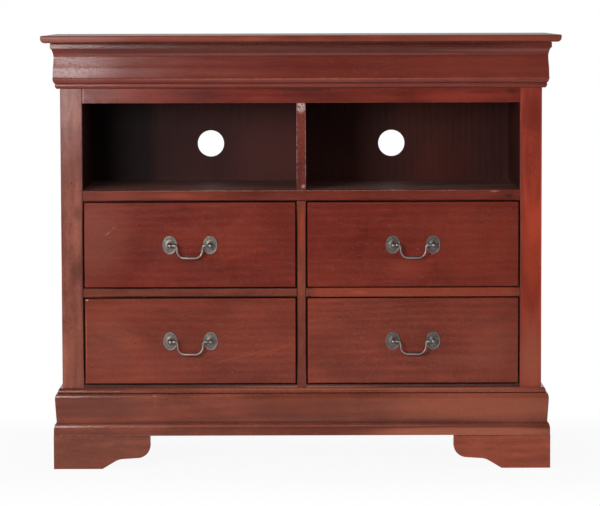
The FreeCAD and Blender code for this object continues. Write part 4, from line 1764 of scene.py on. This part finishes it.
def moulding_finishes() -> dict[str, CherryFinish]:
    """Finish of each length of the crown and the base."""
    back = Grain.ALONG_Y
    # Bands across the crown: painted shadow of the top board on the fillet, which also has glaze, and a
    # darker painted shadow line just under the board; painted shade in the cove and in the creases; painted
    # light on the frieze's lip and on the bead; and a painted shadow along the crown's lower edge
    crown_glaze_and_painted_light = (
        line(0, 869.5, 1100, 9, (70, 25, 20), 0.65, softness=0.4, ragged=0.1),
        line(0, 874.2, 1100, 5.0, (20, 8, 6), 0.85, softness=0.4, ragged=0.1),
        line(0, 859.5, 1100, 11, (60, 27, 23), 0.75, softness=0.4, ragged=0.15),
        stain(420, 860, 460, 10, (124, 70, 58), 0.55),
        line(0, 853.4, 1100, 2.8, (140, 84, 72), 0.25, softness=0.5, ragged=0.3),
        line(0, 849.0, 1100, 5.0, (76, 27, 22), 0.50, softness=0.8, ragged=0.1),
        line(0, 802.5, 1100, 5, (150, 72, 54), 0.50, softness=0.7, ragged=0.2),
        line(0, 795.4, 1100, 2.6, SOOT_AND_SHADE, 0.60, softness=0.5, ragged=0.2),
        line(0, 790.2, 1100, 6.0, (146, 62, 46), 0.35, softness=0.5, ragged=0.2),
        line(0, 785.2, 1100, 3.2, SOOT_AND_SHADE, 0.65, softness=0.5, ragged=0.2),
    )
    # Bands across the base: painted light on the round at its top, painted shade in the crease below it and
    # in the hollow under its long face, and a pale arris line that is partly wear and partly painted
    # highlight
    rubbed = (
        line(100, 163.5, 900, 5.5, (168, 88, 66), 0.60, softness=0.6, ragged=0.2),
        line(0, 158.3, 1100, 2.4, SOOT_AND_SHADE, 0.45, softness=0.6, ragged=0.3),
        line(0, 96.5, 1100, 6.5, (84, 32, 24), 0.70, softness=0.6, ragged=0.2),
        line(0, 88.5, 1100, 4.0, (146, 92, 82), 0.45, softness=0.7, ragged=0.3),
    )
    crown = wood(
        "crown", FRAME, *crown_glaze_and_painted_light,
        profiled=True, wear=0.30, specular=0.25, streaks=0.14, flame=0.12, mottle=0.20,
    )
    base = wood(
        "base", BASE, *rubbed,
        profiled=True, wear=0.85, coat=0.12, coat_roughness=0.08, streaks=0.18,
    )
    crown_spots = (
        stain(-60, 846, 560, 22, (84, 32, 27), 0.30),
        stain(10, 828, 460, 60, (90, 23, 13), 0.60),
        # Painted sheen: the reflection of the lamp on the crown's left end
        stain(-450, 827, 210, 78, (172, 132, 130), 0.34, softness=0.9, ragged=0.5),
        stain(330, 826, 420, 60, (118, 44, 31), 0.45),
        stain(-160, 814, 200, 16, (128, 60, 46), 0.18),
        stain(-364, 859, 7, 5, (34, 18, 18), 0.70, softness=0.6),
        stain(-430, 871, 10, 4, PALE, 0.50),
    )
    base_spots = (
        stain(370, 128, 600, 80, (152, 78, 54), 0.80, softness=0.7),
        stain(330, 75, 520, 26, (163, 89, 65), 0.85, softness=0.5),
        stain(20, 108, 240, 18, (88, 42, 32), 0.45),
        stain(20, 78, 420, 30, (96, 36, 22), 0.70),
        stain(0, 128, 320, 60, (116, 50, 30), 0.60),
        stain(360, 158, 500, 26, (156, 80, 62), 0.55),
        stain(-420, 126, 260, 60, (92, 46, 38), 0.60, softness=0.6),
        stain(-120, 130, 120, 44, (138, 66, 46), 0.30),
        stain(-303, 151, 12, 8, (172, 92, 68), 0.45, ragged=0.7),
        stain(-284, 147, 46, 5, (160, 84, 62), 0.35, turn=-10.0, ragged=0.7),
        stain(-302, 135, 11, 28, (158, 82, 60), 0.30, ragged=0.6),
        stain(-278, 144, 9, 6, SOOT_AND_SHADE, 0.50, ragged=0.7),
    )
    return {
        "crown_front": replace(crown, name="crown_front", seed=1.0, marks=crown_spots + crown_glaze_and_painted_light),
        "crown_left": replace(crown, name="crown_left", seed=2.0, grain=back),
        "crown_right": replace(crown, name="crown_right", seed=3.0, grain=back),
        "base_front": replace(base, name="base_front", seed=4.0, mottle=0.4, marks=base_spots + rubbed),
        "base_left": replace(base, name="base_left", seed=5.0, grain=back),
        "base_right": replace(base, name="base_right", seed=6.0, grain=back),
    }


def front_frame_finishes() -> list[CherryFinish]:
    """Finish of each board of the face frame, by its node's name."""
    up = Grain.ALONG_Z
    return [
        wood(
            "stile_left", tint(123, 69, 57),
            gap_shade(-450.3, 363, 2.0, 378),
            # Painted sheen: a paler diagonal band in the lamp's reflection on the top of the stile
            stain(-473, 742, 9, 62, (160, 112, 104), 0.30, turn=-14.0),
            stain(-468, 260, 60, 200, (132, 72, 54), 0.50),
            stain(-460, 527, 26, 50, (66, 34, 28), 0.50),
            stain(-462, 405, 40, 66, (78, 42, 34), 0.50),
            line(-451.5, 470, 6, 620, (58, 28, 24), 0.55, softness=0.9),
            stain(-472, 589, 4, 5, SOOT_AND_SHADE, 0.80, softness=0.5),
            stain(-474, 291, 4, 5, SOOT_AND_SHADE, 0.70, softness=0.5),
            grain=up, seed=7.0, mottle=0.60, speckle=0.4, specular=0.14,
        ),
        wood(
            "stile_right", tint(140, 52, 36),
            gap_shade(450.3, 363, 2.0, 378),
            stain(474, 700, 46, 9, (104, 36, 27), 0.45, turn=-22.0),
            stain(480, 682, 40, 6, (108, 38, 28), 0.40, turn=-34.0),
            stain(468, 645, 44, 5, (106, 38, 28), 0.50, turn=-48.0),
            stain(478, 624, 50, 4, (104, 36, 27), 0.50, turn=-46.0),
            stain(480, 602, 44, 4, (108, 38, 28), 0.45, turn=-50.0),
            stain(474, 276, 4, 124, (110, 42, 30), 0.55, turn=9.0),
            stain(466, 250, 3, 90, (112, 44, 32), 0.40, turn=7.0),
            stain(482, 300, 4, 80, (112, 40, 28), 0.45, turn=14.0),
            stain(472, 735, 60, 120, (110, 36, 26), 0.70),
            stain(478, 500, 60, 170, (180, 68, 46), 0.60),
            stain(474, 420, 50, 120, (166, 66, 44), 0.40),
            stain(472, 225, 90, 260, (152, 78, 58), 0.80, softness=0.9),
            line(492.4, 480, 3.4, 640, (184, 84, 54), 0.60, softness=0.5),
            line(450.6, 480, 2, 640, (104, 66, 60), 0.60, softness=0.5),
            grain=up, seed=8.0, ring=0.010, mottle=0.35, flame=0.14, streaks=0.14,
            heart=(0.478, 0.012, 0.66, 0.10),
        ),
        wood(
            "top_rail", tint(103, 35, 25),
            stain(-205, 768, 130, 40, (72, 30, 26), 0.50),
            stain(40, 767, 240, 40, (80, 22, 14), 0.65),
            stain(10, 780, 160, 9, SOOT_AND_SHADE, 0.60),
            line(-41, 772, 2, 20, (134, 66, 52), 0.40),
            stain(330, 766, 280, 40, (136, 50, 36), 0.65),
            stain(375, 775, 100, 13, (82, 36, 28), 0.50),
            stain(432, 776, 36, 14, SOOT_AND_SHADE, 0.50),
            line(-449.4, 768, 2, 40, SOOT_AND_SHADE, 0.80, softness=0.3),
            line(-446.6, 768, 2, 40, PALE, 0.45, softness=0.5),
            seed=9.0, mottle=0.4,
        ),
        wood(
            "shelf_rail", tint(105, 40, 28),
            gap_shade(0, 553.0, 1000, 3.0),
            line(0, 573.2, 1000, 1.8, (158, 128, 120), 0.45, ragged=0.9, softness=0.6),
            stain(-265, 563, 130, 16, (142, 62, 44), 0.55),
            stain(240, 563, 420, 30, (116, 47, 35), 0.60),
            stain(425, 562, 32, 15, SOOT_AND_SHADE, 0.60),
            line(-449.4, 563, 2, 40, SOOT_AND_SHADE, 0.70, softness=0.3),
            stain(398, 571, 34, 6, (160, 116, 108), 0.55, ragged=1.0),
            stain(300, 573, 60, 3, (160, 116, 108), 0.40, ragged=1.0),
            seed=10.0, mottle=0.4,
        ),
        wood(
            "centre_stile", tint(117, 57, 42),
            gap_shade(-8.8, 363, 2.6, 378),
            gap_shade(8.8, 363, 2.6, 378),
            stain(1, 490, 20, 130, (154, 66, 42), 0.60),
            # Painted shade beside the gaps of the lower drawers
            line(-8, 270, 5, 200, SOOT_AND_SHADE, 0.45, softness=0.9),
            line(9, 270, 5, 200, SOOT_AND_SHADE, 0.45, softness=0.9),
            grain=up, seed=11.0, mottle=0.45,
        ),
        wood(
            "drawer_rails", tint(108, 50, 36),
            gap_shade(0, 371.6, 1000, 2.0),
            gap_shade(0, 355.2, 1000, 3.2),
            line(230, 363, 436, 30, (140, 61, 42), 0.85, softness=0.1),
            stain(-330, 363, 120, 14, (132, 66, 50), 0.35),
            stain(120, 363, 60, 12, (166, 84, 62), 0.40),
            line(-449.4, 363, 2, 40, SOOT_AND_SHADE, 0.70, softness=0.3),
            line(-9, 363, 2, 40, SOOT_AND_SHADE, 0.60, softness=0.3),
            line(11, 363, 2, 40, (100, 70, 66), 0.60, softness=0.3),
            seed=12.0, mottle=0.4,
        ),
        wood(
            # Its dark tone is painted shade on this narrow strip under the lower drawers
            "bottom_rail", tint(78, 44, 37),
            stain(0, 167.5, 460, 4, (168, 122, 114), 0.60),
            gap_shade(0, 172.0, 1000, 1.6),
            seed=13.0, mottle=0.4,
        ),
        wood(
            "bay_divider", tint(96, 40, 33),
            stain(0, 745, 28, 34, (190, 166, 162), 0.70, ragged=1.0, softness=0.7),
            line(-9.2, 663, 2.4, 180, (168, 142, 138), 0.50, ragged=0.9, softness=0.5),
            line(9.2, 663, 2.4, 180, (176, 152, 148), 0.60, ragged=0.9, softness=0.5),
            stain(4, 582, 14, 12, (178, 150, 144), 0.50, ragged=1.0),
            grain=up, seed=14.0, speckle=1.0,
        ),
    ]


def drawer_front_finishes() -> list[CherryFinish]:
    """Finish of each drawer's front, by its node's name."""
    return [
        drawer_wood(
            "upper_left", tint(109, 38, 27),
            stain(-420, 470, 190, 230, (126, 66, 52), 0.50),
            stain(-140, 500, 130, 26, (132, 50, 38), 0.35, turn=40.0),
            stain(-190, 455, 150, 14, (84, 32, 26), 0.40, turn=36.0, ragged=0.2),
            stain(-110, 446, 160, 18, (136, 54, 40), 0.35, turn=16.0),
            stain(-240, 430, 160, 60, (88, 36, 30), 0.30, turn=-20.0),
            stain(-360, 470, 140, 12, (90, 40, 32), 0.25, turn=28.0, ragged=0.2),
            stain(-398, 486, 19, 3, PALE, 0.45, turn=38.0),
            stain(-386, 497, 8, 2.5, PALE, 0.40, turn=30.0),
            stain(-178, 541, 60, 4, (150, 84, 72), 0.30),
            # Painted highlight on the drawer's left arris
            line(-447, 462, 2.4, 160, (160, 84, 60), 0.50, softness=0.6),
            seed=31.0, flame=0.30, flame_turn=-24.0, streaks=0.07,
        ),
        drawer_wood(
            "upper_right", tint(109, 37, 27),
            stain(208, 410, 150, 60, (134, 56, 40), 0.45),
            stain(132, 480, 14, 130, (88, 30, 24), 0.35, turn=-8.0, ragged=0.2),
            stain(120, 430, 14, 90, (88, 30, 24), 0.30, turn=16.0, ragged=0.2),
            stain(276, 420, 12, 90, (90, 32, 25), 0.30, turn=12.0, ragged=0.2),
            stain(292, 490, 12, 90, (90, 32, 25), 0.25, turn=-14.0, ragged=0.2),
            stain(208, 415, 40, 40, (140, 60, 44), 0.30),
            stain(300, 470, 120, 150, (122, 44, 30), 0.35),
            stain(180, 521, 90, 14, (84, 34, 28), 0.30),
            seed=32.0, flame=0.22, flame_turn=78.0, streaks=0.05,
        ),
        drawer_wood(
            "lower_left", tint(116, 48, 34),
            stain(-400, 268, 140, 150, (132, 68, 52), 0.45),
            stain(-346, 262, 80, 56, (144, 70, 48), 0.40),
            stain(-346, 284, 110, 14, (102, 44, 32), 0.30, turn=-12.0, ragged=0.3),
            stain(-300, 250, 14, 60, (104, 46, 34), 0.25, turn=-20.0, ragged=0.3),
            stain(-380, 244, 100, 10, (104, 46, 34), 0.25, turn=-24.0, ragged=0.3),
            stain(-120, 232, 200, 8, (146, 72, 50), 0.30, turn=14.0, ragged=0.3),
            stain(-343, 258, 7, 6, (64, 30, 24), 0.65),
            stain(-410, 268, 70, 18, (92, 44, 34), 0.35, turn=-20.0),
            stain(-60, 242, 110, 9, (150, 72, 48), 0.35, turn=20.0),
            # Painted highlight on the drawer's left arris, and a painted glint at its top corner
            line(-444, 262, 2.4, 150, (164, 90, 64), 0.50, softness=0.6),
            stain(-442, 348, 8, 4, (225, 205, 200), 0.60),
            seed=33.0, flame=0.18, flame_turn=-5.0, streaks=0.08,
        ),
        drawer_wood(
            "lower_right", tint(119, 51, 37),
            stain(400, 306, 170, 22, (98, 46, 36), 0.40, turn=14.0, ragged=0.3),
            stain(410, 268, 120, 16, (94, 44, 34), 0.40, turn=12.0, ragged=0.3),
            stain(330, 222, 240, 40, (140, 72, 54), 0.40),
            stain(390, 250, 160, 150, (140, 70, 52), 0.40),
            stain(60, 292, 130, 30, (134, 64, 48), 0.30),
            stain(250, 205, 300, 12, (136, 64, 44), 0.30),
            seed=34.0, flame=0.22, flame_turn=-6.0, streaks=0.12,
        ),
    ]


def case_board_finishes() -> list[CherryFinish]:
    """Finish of each board of the case behind the face frame, by its node's name."""
    up, back = Grain.ALONG_Z, Grain.ALONG_Y
    joint = line(0, 67.6, 1200, 2.4, SOOT_AND_SHADE, 0.60, softness=0.5, ragged=0.2)
    return [
        wood("side_panel_left", FRAME, grain=up, seed=15.0, figure=0.12),
        wood("side_panel_right", FRAME, grain=up, seed=16.0, figure=0.12),
        wood("front_foot_left", tint(119, 62, 47), joint, seed=17.0, marked_around=True),
        wood("front_foot_right", tint(145, 68, 47), joint, seed=18.0, marked_around=True),
        wood("rear_foot_left", BASE, joint, grain=back, seed=19.0, marked_around=True),
        wood("rear_foot_right", BASE, joint, grain=back, seed=20.0, marked_around=True),
        bay_wood(
            # Its pale grey tone is partly dust and partly painted light and sheen on the shelf's top, which
            # the lamps only graze
            "media_shelf", tint(141, 101, 93),
            seed=21.0, specular=0.12, roughness=0.6, wear=0.9, worn=tint(176, 156, 150), speckle=0.6,
        ),
        bay_wood("bay_ceiling", BAY, seed=22.0),
        bay_wood(
            "bay_linings", BAY,
            # Painted shade on the left wall of the left bay
            line(-449, 660, 8, 200, (54, 25, 22), 0.75, softness=0.2),
            grain=back, seed=23.0, wear=0.7, worn=tint(150, 126, 120), marked_around=True,
        ),
        bay_wood("centre_partition", BAY, grain=back, seed=24.0),
        bay_wood("case_bottom", BAY, seed=25.0),
        bay_wood(
            "back_panel", BAY,
            # Painted light and shade on the back panel: paler stains where the key lamp reaches through the
            # openings; the stain on the right of the right bay is partly a redder tone and partly painted
            # light
            stain(-60, 640, 320, 300, (82, 41, 37), 0.85),
            stain(110, 640, 220, 260, (78, 40, 34), 0.60),
            stain(300, 600, 220, 170, (82, 31, 23), 0.60),
            # Painted shadow of the left stile over the left of the left bay
            stain(-240, 640, 280, 300, (54, 25, 22), 0.80),
            line(-424, 660, 252, 260, (26, 10, 10), 0.92, softness=0.32, ragged=0.05),
            grain=up, seed=26.0, wear=0.1, streaks=0.1, flame=0.1, fibre=0.25,
        ),
    ]


def bare_finishes() -> dict[str, BareWoodFinish]:
    """Finish of the runners and of the drawers' boxes, by their nodes' names."""
    sides = BareWoodFinish("drawer_sides", tint(158, 120, 82), tint(206, 172, 128), seed=28.0)
    backs = replace(sides, name="drawer_backs", grain=Grain.ALONG_X, seed=30.0)
    ply = BareWoodFinish("drawer_ply", tint(168, 132, 92), tint(206, 176, 134), Grain.ALONG_X, 29.0)
    runners = BareWoodFinish("drawer_runners", tint(150, 112, 76), tint(196, 160, 116), seed=27.0)
    finishes = {"drawer_runners": runners}
    for stem in (f"{row}_{side}_drawer" for row, side in DRAWERS):
        finishes[f"{stem}_left_side"] = finishes[f"{stem}_right_side"] = sides
        finishes[f"{stem}_back"] = backs
        finishes[f"{stem}_bottom"] = ply
    return finishes


def top_finish() -> CherryFinish:
    """Finish of the top board, duller than the rest so that no lamp glares on it."""
    return wood(
        "top_board", tint(119, 54, 41),
        stain(400, 884, 460, 40, (138, 66, 50), 0.60),
        # Painted sheen of the lamp on the board's left end
        stain(-460, 884, 330, 22, (160, 106, 96), 0.50),
        # Painted shadow along the underside of the board's edge
        line(0, 878.3, 1200, 3.0, (34, 15, 12), 0.75, softness=0.5, ragged=0.1),
        seed=40.0, specular=0.10, roughness=0.36, coat=0.10, coat_roughness=0.25,
    )


def main() -> None:
    """Builds the chest's looks in order."""
    Studio().build()
    mouldings = moulding_tree()
    finishes = moulding_finishes()
    Moulding("crown", CROWN_SHARES, projection=18.5 * MM).build(mouldings, finishes)
    Moulding("base", BASE_SHARES, projection=17.6 * MM).build(mouldings, finishes)
    TopBoard().build(top_finish())
    boards = front_frame_finishes() + drawer_front_finishes() + case_board_finishes()
    CaseWood().dress({finish.name: finish for finish in boards} | bare_finishes())
    steel = SteelFinish("zinc_steel", tint(150, 146, 138)).build()
    Fastenings().build(fastener_tree(), steel)
    bails = bail_tree()
    pewter = PewterFinish("aged_pewter", tint(84, 76, 73), tint(156, 147, 141)).build()
    for row, side in DRAWERS:
        low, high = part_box(f"{row}_{side}_drawer_front")
        Pull(row, side, (low[0] + high[0]) / 2, (low[2] + high[2]) / 2).build(bails, pewter, steel)


if __name__ == "__main__":
    main()
